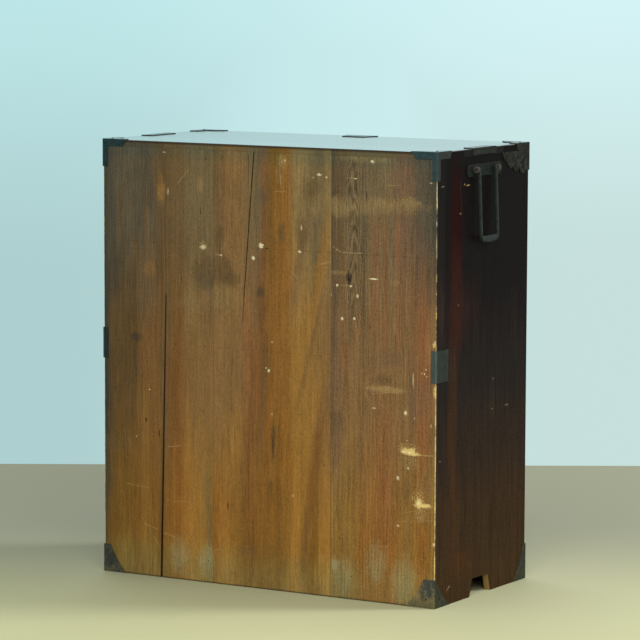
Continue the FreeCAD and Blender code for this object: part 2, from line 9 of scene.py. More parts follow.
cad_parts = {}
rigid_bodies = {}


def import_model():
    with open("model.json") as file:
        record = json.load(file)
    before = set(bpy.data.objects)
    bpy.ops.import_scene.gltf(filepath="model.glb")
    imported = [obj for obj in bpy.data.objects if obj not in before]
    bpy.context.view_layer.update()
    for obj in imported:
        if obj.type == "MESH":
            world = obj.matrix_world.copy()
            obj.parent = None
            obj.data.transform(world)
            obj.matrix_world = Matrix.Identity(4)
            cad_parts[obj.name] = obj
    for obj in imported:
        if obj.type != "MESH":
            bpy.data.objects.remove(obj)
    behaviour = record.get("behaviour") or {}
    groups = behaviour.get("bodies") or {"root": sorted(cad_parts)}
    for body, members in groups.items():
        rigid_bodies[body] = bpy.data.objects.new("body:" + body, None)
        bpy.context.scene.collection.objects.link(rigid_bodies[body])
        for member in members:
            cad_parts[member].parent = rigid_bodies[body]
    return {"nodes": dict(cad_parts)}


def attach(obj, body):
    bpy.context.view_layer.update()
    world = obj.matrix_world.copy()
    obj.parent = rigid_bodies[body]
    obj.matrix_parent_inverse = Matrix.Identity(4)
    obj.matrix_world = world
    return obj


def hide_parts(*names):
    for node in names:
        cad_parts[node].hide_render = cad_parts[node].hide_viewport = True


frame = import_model()
scene = bpy.context.scene
nodes = frame["nodes"]
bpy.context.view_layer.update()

MM = 0.001
# The case in mm, as the solids have it. The origin is under the middle of the whole object.
WIDTH, HALF_WIDTH, HALF_DEPTH, TOP_Z = 870.0, 435.0, 214.0, 1000.0
MIDDLE_Y = 4.65
BACK_Y = MIDDLE_Y + HALF_DEPTH
NOTCH_TOP = 40.0
FLOOR_Z, DRAWER_PITCH = 45.0, 241.0


# ---- Colours, as a screen shows them ----
def tone(red, green, blue):
    def linear(level):
        level /= 255
        return level / 12.92 if level <= 0.04045 else ((level + 0.055) / 1.055) ** 2.4
    return (linear(red), linear(green), linear(blue), 1.0)


ASH, SOOT, SMOKE, BARK = tone(70, 66, 54), tone(56, 54, 46), tone(84, 75, 58), tone(86, 69, 43)
UMBER, WALNUT, DRAB = tone(94, 75, 49), tone(104, 83, 53), tone(108, 92, 63)
SAND, BRONZE, OCHRE = tone(130, 109, 69), tone(104, 77, 34), tone(116, 84, 38)
STRAW, AMBER, HONEY = tone(124, 97, 48), tone(130, 90, 41), tone(142, 105, 50)
RUSSET, CEDAR, PLUM = tone(114, 78, 40), tone(123, 94, 57), tone(110, 86, 61)
ROSE, DUST, GOLD = tone(128, 87, 52), tone(138, 126, 88), tone(228, 200, 128)
BEIGE, IVORY = tone(188, 164, 112), tone(232, 222, 182)
PEAT, COPPER = tone(90, 69, 40), tone(112, 81, 45)
SLIT_AND_SHADOW, CHAR_AND_SHADOW = tone(28, 20, 13), tone(44, 36, 28)


# ---- Materials ----
def operation(kind, swapped=False):
    """A method of Num that adds a node of that kind."""
    def method(self, other):
        return self.net.maths(kind, *((other, self) if swapped else (self, other)))
    return method


class Num:
    """A number that varies over a surface. Arithmetic on it adds nodes."""

    def __init__(self, net, socket):
        self.net, self.socket = net, socket

    def __abs__(self):
        return self.net.maths("ABSOLUTE", self)

    __add__ = __radd__ = operation("ADD")
    __mul__ = __rmul__ = operation("MULTIPLY")
    __sub__, __rsub__ = operation("SUBTRACT"), operation("SUBTRACT", True)
    __truediv__ = operation("DIVIDE")


class Net:
    """A tree of shader nodes under construction."""

    def __init__(self, tree):
        self.tree = tree
        tree.nodes.clear()

    def node(self, kind, **settings):
        made = self.tree.nodes.new("ShaderNode" + kind)
        for name, value in settings.items():
            setattr(made, name, value)
        return made

    def plug(self, socket, value):
        if isinstance(value, Num):
            value = value.socket
        if isinstance(value, bpy.types.NodeSocket):
            self.tree.links.new(value, socket)
        else:
            socket.default_value = value[:3] if socket.type == "VECTOR" else value

    def fill(self, made, *values, **named):
        """Plugs values into a node's first inputs, and named ones into the inputs of that name."""
        for socket, value in zip(made.inputs, values):
            self.plug(socket, value)
        for name, value in named.items():
            self.plug(made.inputs[name.replace("_", " ")], value)
        return made

    def split(self, vector):
        made = self.fill(self.node("SeparateXYZ"), vector)
        return [Num(self, out) for out in made.outputs]

    def vector(self, kind, *values, **named):
        made = self.node("VectorMath", operation=kind)
        return self.fill(made, *values, **named).outputs[0]

    def maths(self, kind, *values):
        made = self.node("Math", operation=kind)
        return Num(self, self.fill(made, *values).outputs[0])

    def step(self, value, low, high):
        """0 at low and 1 at high, with soft ends. It falls where low is above high."""
        made = self.node("MapRange", interpolation_type="SMOOTHSTEP")
        return Num(self, self.fill(made, Value=value, From_Min=low, From_Max=high).outputs[0])

    def use(self, recipe, *values):
        """The number that a node group gives for these inputs."""
        made = self.node("Group", node_tree=recipe)
        return Num(self, self.fill(made, *values).outputs[0])


def recipe(name, inputs, work):
    """A node group that works out one number from its inputs."""
    net = Net(bpy.data.node_groups.new(name, "ShaderNodeTree"))
    for title in inputs.split():
        net.tree.interface.new_socket(title, in_out="INPUT", socket_type="NodeSocketFloat")
    net.tree.interface.new_socket("result", in_out="OUTPUT", socket_type="NodeSocketFloat")
    start, end = (net.tree.nodes.new("NodeGroup" + way) for way in ("Input", "Output"))
    net.plug(end.inputs[0], work(net, *[Num(net, out) for out in start.outputs[:-1]]))
    return net.tree


def streak_work(net, along, z, place, width, low, high, lean, fade):
    off = abs(along - place - lean * (z - low)) / width
    ends = net.step(z, low - fade, low + fade) * net.step(z, high + fade, high - fade)
    return net.step(off, 1.0, 0.1) * ends


def spot_work(net, along, z, place, up, width, height, edge, soft):
    across, rise = (along - place) / width, (z - up) / height
    return net.step(across * across + rise * rise + edge, soft + 1, 1 - soft)


def scratch_work(net, along, z, x0, z0, x1, z1, width, edge):
    dx, dz, ux, uz = along - x0, z - z0, x1 - x0, z1 - z0
    length = net.maths("SQRT", ux * ux + uz * uz)
    off, run = abs(dz * ux - dx * uz) / length, (dx * ux + dz * uz) / length
    ends = net.step(abs(run - length / 2), length / 2, length / 2 - 4)
    return net.step(off, width * 1.5, width * 0.3) * ends * net.step(edge, -0.9, 0.3)


STREAK = recipe("streak", "along z place width low high lean fade", streak_work)
SPOT = recipe("spot", "along z place up width height edge soft", spot_work)
SCRATCH = recipe("scratch", "along z x0 z0 x1 z1 width edge", scratch_work)


class Finish(Net):
    """A material worked out from a point's place on the object, in mm."""

    def __init__(self, name):
        self.material = bpy.data.materials.new(name)
        self.material.use_nodes = True
        super().__init__(self.material.node_tree)
        coordinates = self.node("TexCoord")
        self.place = self.vector("SCALE", coordinates.outputs["Object"], Scale=1 / MM)
        self.x, self.y, self.z = self.split(self.place)
        self.facing = self.split(coordinates.outputs["Normal"])

    def clouds(self, size, seed, detail=2.0, roughness=0.5):
        """Noise from about -1 to 1. size is the width of its features along X, Y and Z."""
        scaled = self.vector("MULTIPLY", self.place, [1 / s for s in size])
        moved = self.vector("ADD", scaled, (3.7 * seed, 1.3 * seed, 5.1 * seed))
        made = self.fill(self.node("TexNoise"), Vector=moved, Scale=1.0, Detail=detail,
                         Roughness=roughness)
        return Num(self, made.outputs[0]) * 4 - 2

    def ramp(self, value, stops):
        made = self.node("ValToRGB")
        made.color_ramp.interpolation = "EASE"
        elements = made.color_ramp.elements
        while len(elements) < len(stops):
            elements.new(0.5)
        for element, (position, colour) in zip(elements, stops):
            element.position, element.color = position, colour
        self.plug(made.inputs[0], value)
        return made.outputs[0]

    def mix(self, amount, first, second):
        made = self.node("Mix", data_type="RGBA")
        for socket, value in ((0, amount), (6, first), (7, second)):
            self.plug(made.inputs[socket], value)
        return made.outputs[2]

    def shade(self, colour, amount):
        """colour made lighter by a share of itself, or darker where amount is below 0."""
        return self.vector("SCALE", colour, Scale=amount + 1)

    def each(self, *values):
        """Three numbers as one vector."""
        return self.fill(self.node("CombineXYZ"), *values).outputs[0]

    def done(self, colour, roughness, relief=None, depth=0.3, **others):
        """relief is the height of the surface, from about -1 to 1, and depth its mm."""
        shader = self.fill(self.node("BsdfPrincipled"), Base_Color=colour, Roughness=roughness,
                           **others)
        if relief is not None:
            bump = self.fill(self.node("Bump"), Strength=0.8, Distance=depth * MM, Height=relief)
            self.plug(shader.inputs["Normal"], bump.outputs[0])
        self.fill(self.node("OutputMaterial"), shader.outputs[0])
        return self.material


class Face(Finish):
    """A finish with marks placed in mm along a face and up it."""

    def __init__(self, name, along=None):
        super().__init__(name)
        self.along = along(self) if along else HALF_WIDTH - self.x
        self.ragged = self.clouds((4, 4, 4), 3, 3, 0.7)
        self.nibble = self.clouds((2.4, 2.4, 3), 9, 3, 0.8) * 1.3 + 0.25
        self.torn = self.clouds((14, 14, 26), 4, 5, 0.75) + self.clouds((3, 3, 9), 7, 3, 0.8) * 0.7
        self.swayed = self.along + self.clouds((60, 60, 240), 8, 2) * 6

    def streak(self, place, width, low, high, lean=0.0, fade=60.0):
        """A soft upright streak. lean is how far it moves along the face for each mm up."""
        return self.use(STREAK, self.swayed, self.z, place, width, low, high, lean, fade)

    def chip(self, place, up, width, height, strength=1.0):
        """A small ragged spot with a hard edge."""
        spot = self.use(SPOT, self.along, self.z, place, up, width, height, self.nibble, 0.6)
        return spot if strength == 1 else spot * strength

    def patch(self, place, up, width, height):
        """A broad soft patch of colour: mostly stains, and on the sides one painted shadow."""
        return self.use(SPOT, self.along, self.z, place, up, width, height, self.torn, 0.9)

    def scuff(self, place, up, width, height, cover):
        """A patch rubbed through in flecks. cover is how much of it is bare, from 0 to 1."""
        flecks = self.step(self.nibble, 0.55 - cover * 1.6, 1.2 - cover * 1.6)
        return self.patch(place, up, width, height) * flecks

    def scratch(self, *line):
        """A thin straight line that comes and goes, from its two ends and its width."""
        return self.use(SCRATCH, self.along, self.z, *line, self.ragged)

    def crack(self, *line):
        """A thin straight line without breaks."""
        return self.use(SCRATCH, self.along, self.z, *line, 1.0)

    def marked(self, colour, kind, marks, hue, strength):
        """colour with marks of one kind in one hue."""
        total = None
        for mark in marks:
            made = kind(*mark)
            total = made if total is None else self.maths("MAXIMUM", total, made)
        return self.mix(total * strength, colour, hue) if marks else colour


def put_on(names, material):
    for name in names:
        for place in nodes[name].material_slots:
            place.link = "OBJECT"
            place.material = material


def side_tones(wood):
    """Tones of the dark lacquer, from the floor up, lighter and warmer low down where light bounced
    up from the floor is painted in.
    """
    height = wood.z + wood.clouds((14, 14, 300), 42, 3) * 40
    # lighter and warmer near the floor: painted bounce light from the floor
    return wood.ramp(height / TOP_Z, [
        (0.0, tone(60, 43, 24)), (0.18, tone(55, 39, 25)), (0.34, tone(44, 33, 26)),
        (0.5, tone(33, 26, 24)), (0.72, tone(20, 13, 13)), (1.0, tone(17, 11, 10))])


CROWNS = []        # tones of the planks at the top, from the left edge to the right


def back_plank(number, crown, middle, foot, streaks, patches, chips, scratches, scribes, slits,
               scuffs=(), cracks=(), figure=None, coarse=1.0, cool=0.0):
    """Weathered pine. crown, middle and foot are its tones from the left edge to the right, at
    three heights. The rest are its marks, in mm from the left edge and from the floor. coarse
    is the strength of its grain, and cool adds to its blue."""
    wood = Face(f"back_plank_{number}")
    CROWNS.extend(crown)
    across = wood.swayed / WIDTH

    def tones(stops):
        return wood.ramp(across, [(x / WIDTH, hue) for x, hue in stops])

    height = wood.z + wood.clouds((22, 22, 260), 5, 3) * 90
    colour = wood.mix(wood.step(height, 90, 430), tones(foot), tones(middle))
    colour = wood.mix(wood.step(height, 540, 840), colour, tones(crown))
    for place, width, low, high, hue, strength, *lean in streaks:
        colour = wood.mix(wood.streak(place, width, low, high, *lean) * strength, colour, hue)
    for *shape, hue, strength in patches:
        colour = wood.mix(wood.patch(*shape) * strength, colour, hue)
    lines = wood.clouds((2.6, 2.6, 60), 1 + number, 4, 0.8)
    fine = wood.clouds((6, 6, 260), 51 + number, 3, 0.65)
    broad = wood.clouds((18, 18, 420), 11 + number, 2)
    cloud = wood.clouds((46, 46, 70), 21 + number, 5, 0.7)
    specks = wood.clouds((3.2, 3.2, 4.5), 41 + number, 2, 0.8)
    warm = wood.clouds((9, 9, 90), 31 + number, 4, 0.65)
    if figure:
        fine = fine + figure(wood)
    shade = lines * 0.34 + fine * 0.18 + specks * 0.28
    shade = shade * coarse + broad * 0.1 + cloud * 0.1
    low, head, haze = (wood.step(wood.z, *span) for span in ((560, 150), (950, 980), (112, 34)))
    cast = wood.each(low * 0.13 + 1.07 - head * 0.21,
                     low * 0.06 + 1.06 - head * 0.05 + haze * 0.28,
                     haze * 0.56 - low * 0.17 + head * 0.08 + 1.14 + cool)
    colour = wood.vector("MULTIPLY", wood.shade(colour, shade), cast)
    for ends, strength, hue, lift in (((0.2, 1.4), 0.5, AMBER, 0.05),
                                      ((-0.3, -1.4), 0.45, SMOKE, 0.2)):
        colour = wood.mix(wood.step(warm, *ends) * strength, colour,
                          wood.shade(hue, shade + low * lift))
    dust_and_arris_glint = wood.clouds((5, 5, 26), 31, 4, 0.8) + wood.step(wood.z, 110, 10) * 0.6
    colour = wood.mix(wood.step(dust_and_arris_glint, 0.4, 1.5) * wood.step(wood.z, 260, 20) * 0.6, colour, DUST)
    colour = wood.mix(wood.step(specks + fine * 0.3, 1.0, 1.6) * 0.3, colour, BEIGE)
    for kind, marks, hue, strength in (
            (wood.scratch, scribes, SLIT_AND_SHADOW, 0.25), (wood.scratch, scratches, BEIGE, 0.5),
            (wood.chip, slits, SLIT_AND_SHADOW, 0.8), (wood.crack, cracks, SLIT_AND_SHADOW, 0.85),
            (wood.scuff, scuffs, GOLD, 1.0), (wood.chip, chips, IVORY, 0.9)):
        colour = wood.marked(colour, kind, marks, hue, strength)
    # a painted contact shadow along the foot of the planks, where they meet the floor
    colour = wood.mix(wood.step(wood.z, 5, 1) * 0.7, colour, SLIT_AND_SHADOW)
    edge = wood.step(abs(wood.x), HALF_WIDTH - 0.8, HALF_WIDTH - 0.2)
    colour = wood.mix(edge, colour, wood.shade(side_tones(wood), lines * 0.15))
    corner = HALF_WIDTH + BACK_Y
    arris = wood.step(abs(wood.x) + wood.y + wood.ragged * 0.5, corner - 2.35, corner - 1.35)
    broken = wood.clouds((30, 30, 22), 61, 3, 0.7) - wood.step(wood.z, 470, 560) * 0.5
    broken = wood.step(broken, -0.8, 0.5)
    colour = wood.mix(arris * broken * 0.9, colour, GOLD)
    put_on([f"back_plank_{number}"],
           wood.done(colour, 0.66 + fine * 0.04, lines * 0.5 + fine * 0.5, 0.3,
                     Specular_IOR_Level=0.12))


def cathedral(wood):
    """Pointed rings where the saw has cut across the heart of the tree."""
    across = (wood.swayed - 662 + wood.clouds((90, 90, 70), 46, 2) * 7) / 30
    rise = (wood.z - 700) / 330
    ring = across * across + rise + wood.clouds((14, 14, 80), 44, 3) * 0.1
    lines = wood.maths("SINE", ring * 46)
    near = wood.step(abs(across), 1.5, 0.5) * wood.step(abs(wood.z - 800), 240, 140)
    return lines * near * 1.4


back_plank(
    1,
    crown=[(0, ASH), (60, SMOKE), (115, SMOKE), (165, UMBER)],
    middle=[(0, SOOT), (34, PEAT), (76, PEAT), (118, COPPER), (165, COPPER)],
    foot=[(0, BRONZE), (55, BRONZE), (110, OCHRE), (165, OCHRE)],
    streaks=[
        (4, 12, 60, 1000, SOOT, 0.6), (157, 9, 60, 860, BARK, 0.6), (112, 12, 20, 420, STRAW, 0.35),
        (60, 30, 10, 110, STRAW, 0.5), (128, 22, 10, 120, STRAW, 0.5),
        (48, 14, 500, 900, BARK, 0.4), (118, 8, 520, 900, CEDAR, 0.35),
        (142, 12, 700, 1000, UMBER, 0.4)],
    patches=[
        (157, 888, 11, 30, HONEY, 0.5), (153, 915, 6, 18, OCHRE, 0.5),
        (127, 710, 14, 18, HONEY, 0.35), (30, 700, 22, 60, SOOT, 0.35),
        (90, 552, 16, 10, SOOT, 0.6), (115, 640, 30, 60, SMOKE, 0.3),
        (40, 300, 40, 20, UMBER, 0.4)],
    chips=[(125, 432, 2.5, 1.5, 0.7), (165, 976, 6, 1.2, 0.5), (88, 321, 1.6, 1.4, 0.6)],
    scratches=[(108, 120, 150, 110, 0.8), (60, 210, 120, 205, 0.6), (100, 140, 160, 60, 0.4)],
    scribes=[
        (25, 806, 92, 806, 0.8), (25, 660, 70, 660, 0.7), (60, 771, 165, 771, 0.8),
        (20, 540, 70, 541, 0.7)],
    slits=[(151, 332, 1.8, 10), (115, 362, 3, 5)],
    scuffs=[(158, 888, 9, 20, -0.15)],
    cracks=[(169.6, 660, 154.8, 0, 1.6), (169.8, 760, 169.6, 650, 0.7)])
back_plank(
    2,
    crown=[(165, WALNUT), (205, WALNUT), (240, DRAB), (297, DRAB)],
    middle=[(165, WALNUT), (200, RUSSET), (245, CEDAR), (297, CEDAR)],
    foot=[(165, OCHRE), (210, AMBER), (245, HONEY), (297, STRAW)],
    streaks=[
        (180, 16, 560, 1000, UMBER, 0.5), (284, 12, 640, 1000, DRAB, 0.6),
        (188, 12, 480, 760, OCHRE, 0.4), (215, 20, 700, 1000, UMBER, 0.35),
        (283, 13, 20, 260, DRAB, 0.6), (176, 10, 160, 520, RUSSET, 0.5),
        (236, 26, 560, 700, SAND, 0.35), (250, 24, 470, 600, STRAW, 0.3),
        (228, 8, 100, 420, HONEY, 0.4)],
    patches=[
        (262, 906, 8, 16, SAND, 0.5), (272, 706, 30, 38, BARK, 0.65),
        (282, 690, 26, 20, SMOKE, 0.4), (186, 800, 14, 44, BARK, 0.45),
        (205, 60, 24, 40, DUST, 0.4), (280, 50, 20, 36, DUST, 0.45), (172, 640, 8, 60, UMBER, 0.4),
        (232, 640, 30, 20, SAND, 0.3)],
    chips=[(270, 766, 7.5, 5, 0.65), (176, 887, 2, 8, 0.5)],
    scratches=[
        (172, 303, 212, 310, 0.8), (160, 104, 196, 97, 0.9), (190, 180, 232, 181, 0.7),
        (200, 905, 232, 940, 0.7), (168, 180, 185, 182, 0.6), (284, 80, 297, 79, 0.6)],
    scribes=[(165, 771, 297, 771, 0.7), (240, 860, 244, 835, 0.6)],
    slits=[(262, 846, 1.6, 12), (212, 690, 1, 14)],
    scuffs=[(270, 769, 10, 9, 0.1)],
    cracks=[(170.4, 655, 158.2, 0, 1.6)],
    coarse=0.88)
back_plank(
    3,
    crown=[
        (297, WALNUT), (325, CEDAR), (360, CEDAR), (412, DRAB), (425, PLUM), (450, OCHRE),
        (485, AMBER), (520, SAND), (575, DRAB), (604, SAND)],
    middle=[
        (297, CEDAR), (360, CEDAR), (398, ROSE), (420, RUSSET), (452, AMBER), (490, AMBER),
        (520, HONEY), (604, CEDAR)],
    foot=[
        (297, AMBER), (335, HONEY), (375, OCHRE), (425, OCHRE), (470, OCHRE), (520, HONEY),
        (560, OCHRE), (604, HONEY)],
    streaks=[
        (519, 21, 480, 840, HONEY, 0.65, 0.232), (522, 22, 250, 520, HONEY, 0.6, 0.24),
        (503, 13, 20, 300, HONEY, 0.4, 0.07), (538, 20, 130, 420, RUSSET, 0.75, 0.17),
        (533, 12, 20, 180, UMBER, 0.45, 0.05), (392, 18, 40, 380, RUSSET, 0.7, -0.02),
        (416, 11, 300, 560, UMBER, 0.65, 0.08), (427, 18, 540, 980, RUSSET, 0.6),
        (470, 24, 540, 940, AMBER, 0.5), (496, 16, 560, 820, HONEY, 0.5, 0.1),
        (506, 18, 640, 900, PLUM, 0.6, 0.17), (585, 16, 560, 740, CEDAR, 0.5, 0.2),
        (350, 26, 280, 420, HONEY, 0.4, 0.1), (446, 8, 20, 330, RUSSET, 0.6),
        (590, 16, 10, 200, HONEY, 0.6), (315, 14, 700, 960, PLUM, 0.4),
        (525, 9, 440, 640, UMBER, 0.45, 0.23), (398, 10, 300, 600, BARK, 0.22)],
    patches=[
        (315, 710, 34, 36, BARK, 0.75), (345, 694, 22, 18, BARK, 0.6),
        (318, 655, 40, 30, SAND, 0.5), (312, 785, 15, 26, BARK, 0.6),
        (424, 888, 16, 18, SMOKE, 0.5), (422, 672, 9, 15, SOOT, 0.7), (548, 905, 20, 40, BARK, 0.6),
        (565, 872, 40, 22, SAND, 0.55), (472, 950, 10, 34, SAND, 0.5),
        (530, 905, 14, 30, SAND, 0.4), (477, 806, 11, 24, UMBER, 0.6),
        (528, 812, 16, 34, BARK, 0.5), (365, 950, 3, 3, SAND, 0.5), (572, 715, 14, 26, HONEY, 0.35),
        (586, 893, 18, 9, SAND, 0.5), (455, 335, 5, 46, BARK, 0.8), (448, 232, 5, 20, BARK, 0.7),
        (390, 88, 20, 12, UMBER, 0.35), (580, 60, 18, 34, HONEY, 0.5),
        (325, 180, 26, 60, AMBER, 0.5), (530, 940, 26, 20, SAND, 0.4)],
    chips=[
        (423, 777, 6.5, 6), (403, 748, 4.6, 4.6), (523, 768, 4, 3), (318, 750, 3, 1.5, 0.8),
        (573, 941, 5.5, 3, 0.9), (592, 936, 3, 2.5, 0.7), (558, 934, 2.2, 1.5, 0.6),
        (444, 497, 3.6, 3.6, 0.9), (437, 503, 2.4, 1.6, 0.7), (528, 822, 2, 5.5, 0.6),
        (485, 969, 2.4, 2.4, 0.6), (453, 400, 1.6, 2, 0.6), (508, 220, 1.8, 2.6, 0.6),
        (452, 562, 2, 2.4, 0.5)],
    scratches=[
        (472, 940, 476, 905, 1.0), (300, 750, 322, 751, 0.9), (515, 780, 520, 845, 0.4),
        (300, 77, 325, 79, 0.7), (380, 95, 395, 92, 0.6), (574, 742, 604, 750, 0.9),
        (500, 725, 520, 706, 0.6), (458, 899, 492, 900, 0.7), (298, 260, 298, 100, 0.6)],
    scribes=[(340, 771, 604, 770, 0.8), (297, 541, 577, 539, 0.8), (485, 740, 500, 700, 0.6)],
    slits=[
        (336, 181, 2, 8), (455, 330, 1.4, 22), (438, 771, 3.4, 3), (390, 583, 1.6, 2.4),
        (524, 404, 2.4, 1.6)],
    scuffs=[(474, 970, 8, 12, 0.1), (486, 965, 5, 12, 0.15)],
    cracks=[(404.2, 990, 378.2, 656, 1.5), (378.4, 670, 375, 600, 0.8), (390, 980, 389, 900, 0.5)],
    coarse=0.88)
back_plank(
    4,
    crown=[
        (604, SMOKE), (630, WALNUT), (665, DRAB), (700, DRAB), (745, DRAB), (790, PLUM),
        (840, SMOKE), (870, ASH)],
    middle=[
        (604, PLUM), (640, CEDAR), (690, CEDAR), (740, CEDAR), (790, CEDAR), (840, ROSE),
        (870, CEDAR)],
    foot=[
        (604, STRAW), (650, STRAW), (700, AMBER), (760, AMBER), (800, STRAW), (840, AMBER),
        (870, STRAW)],
    streaks=[
        (611, 9, 560, 1000, BARK, 0.7), (686, 6, 620, 980, SMOKE, 0.55),
        (716, 20, 580, 850, ROSE, 0.5), (640, 18, 860, 980, SMOKE, 0.3),
        (742, 16, 540, 860, ROSE, 0.5), (775, 12, 560, 860, ROSE, 0.5),
        (742, 32, 140, 450, ROSE, 0.6), (852, 18, 660, 980, SMOKE, 0.4),
        (654, 7, 560, 780, SMOKE, 0.5), (611, 8, 330, 440, BARK, 0.6),
        (806, 8, 380, 560, SMOKE, 0.6), (790, 8, 250, 480, UMBER, 0.3),
        (690, 20, 500, 610, UMBER, 0.4), (668, 14, 60, 300, STRAW, 0.4),
        (856, 14, 240, 480, CEDAR, 0.5)],
    patches=[
        (700, 878, 120, 18, SAND, 0.7), (621, 872, 20, 22, SAND, 0.7),
        (738, 884, 34, 10, SAND, 0.7), (802, 888, 19, 12, SAND, 0.8), (655, 866, 26, 16, SAND, 0.4),
        (690, 980, 60, 9, SAND, 0.8), (650, 716, 8, 14, CHAR_AND_SHADOW, 0.8), (664, 835, 10, 18, BARK, 0.5),
        (652, 885, 14, 16, DRAB, 0.5), (614, 396, 22, 24, BARK, 0.7), (622, 345, 16, 60, PLUM, 0.5),
        (618, 75, 8, 16, DUST, 0.9), (722, 90, 26, 40, DUST, 0.5), (640, 50, 24, 40, DUST, 0.3),
        (790, 60, 26, 50, DUST, 0.4), (742, 477, 44, 7, GOLD, 0.15), (735, 497, 20, 12, BARK, 0.5),
        (752, 545, 34, 16, PLUM, 0.5), (830, 460, 20, 40, PLUM, 0.4), (625, 727, 20, 5, SAND, 0.6),
        (768, 712, 12, 6, SAND, 0.5), (845, 250, 22, 60, SAND, 0.4), (808, 322, 22, 18, SAND, 0.4),
        (838, 205, 16, 15, SAND, 0.4), (830, 950, 20, 14, SMOKE, 0.6),
        (640, 540, 14, 30, ROSE, 0.4)],
    chips=[
        (708, 975, 4.6, 3.2), (712.5, 718, 11, 1.9), (666, 936, 4, 1.2, 0.8), (620, 699, 3.3, 3.2),
        (655, 699, 4.2, 2.4, 0.8), (603, 677, 3, 5.5, 0.9), (672, 678, 2.4, 4.6, 0.8),
        (633, 626, 3.2, 4), (664, 628, 3.4, 3), (795, 428, 3.8, 5, 0.9), (776, 283, 3.6, 5, 0.8),
        (806, 341, 6, 2.2), (829, 231, 4, 3.4), (777, 177, 3.4, 2.6, 0.8), (715, 433, 5, 1.1, 0.7),
        (867, 588, 2.2, 3, 0.8), (845, 527, 1.8, 1.8, 0.8), (841, 517, 2, 2, 0.8),
        (835, 518, 1.6, 1.6, 0.6), (847, 512, 1.6, 1.6, 0.5), (813, 504, 1.3, 14, 0.5),
        (817, 418, 1.8, 3, 0.4), (799, 368, 1.8, 1.6, 0.7), (802, 307, 2.6, 3, 0.7),
        (855, 934, 3.4, 1.3, 0.6), (858, 404, 2, 4, 0.4), (867, 143, 2.6, 5, 0.8),
        (790, 342, 4, 2.4, 0.8), (869.6, 906, 1.6, 34, 0.9), (869.6, 846, 1.4, 7, 0.7),
        (869.6, 798, 1.2, 20, 0.6)],
    scratches=[
        (607, 786, 614, 780, 1.4), (614, 780, 632, 772, 1.4), (632, 772, 686, 773, 1.3),
        (625, 700, 655, 700, 0.9), (708, 464, 776, 474, 0.5), (820, 337, 868, 339, 1.5),
        (856, 224, 869, 225, 1.5), (836, 229, 868, 227, 1.0), (640, 937, 672, 937, 0.7),
        (812, 520, 815, 480, 0.8), (774, 186, 866, 196, 0.5), (720, 127, 755, 127, 0.8),
        (790, 206, 866, 224, 0.4), (690, 470, 700, 455, 0.8), (610, 260, 611, 130, 0.6),
        (740, 925, 780, 926, 0.6)],
    scribes=[(604, 770, 828, 770, 0.7), (604, 541, 700, 541, 0.5), (800, 905, 840, 910, 0.5)],
    slits=[(650, 714, 3, 4.5), (604, 940, 1.2, 50), (704, 610, 1.4, 4), (694, 900, 1.4, 14)],
    scuffs=[
        (801, 344, 17, 7, 0.8), (812, 339, 18, 4, 0.9), (800, 349, 25, 12, 0.15),
        (808, 318, 22, 16, -0.05), (829, 231, 9, 9, 0.8), (838, 227, 20, 4.5, 0.9),
        (826, 240, 15, 18, 0.15), (832, 206, 16, 14, 0.0), (866, 581, 5.5, 5, 0.5),
        (867.5, 478, 3.4, 12, 0.5), (790, 900, 30, 14, -0.1), (745, 478, 44, 9, -0.12),
        (850, 560, 14, 24, -0.12)],
    figure=cathedral, coarse=1.18, cool=0.1)


def from_back(finish):
    """How far a point lies from the back of the chest."""
    return BACK_Y - finish.y


def edge_wear_and_glint(finish, radius, low, high):
    """1 along the edges of a solid and 0 on its faces."""
    bevel = finish.fill(finish.node("Bevel", samples=4), Radius=radius * MM)
    normal = finish.node("NewGeometry").outputs["Normal"]
    made = finish.node("VectorMath", operation="DOT_PRODUCT")
    finish.fill(made, bevel.outputs[0], normal)
    return finish.step(1 - Num(finish, made.outputs["Value"]) + finish.ragged * 0.02, low, high)


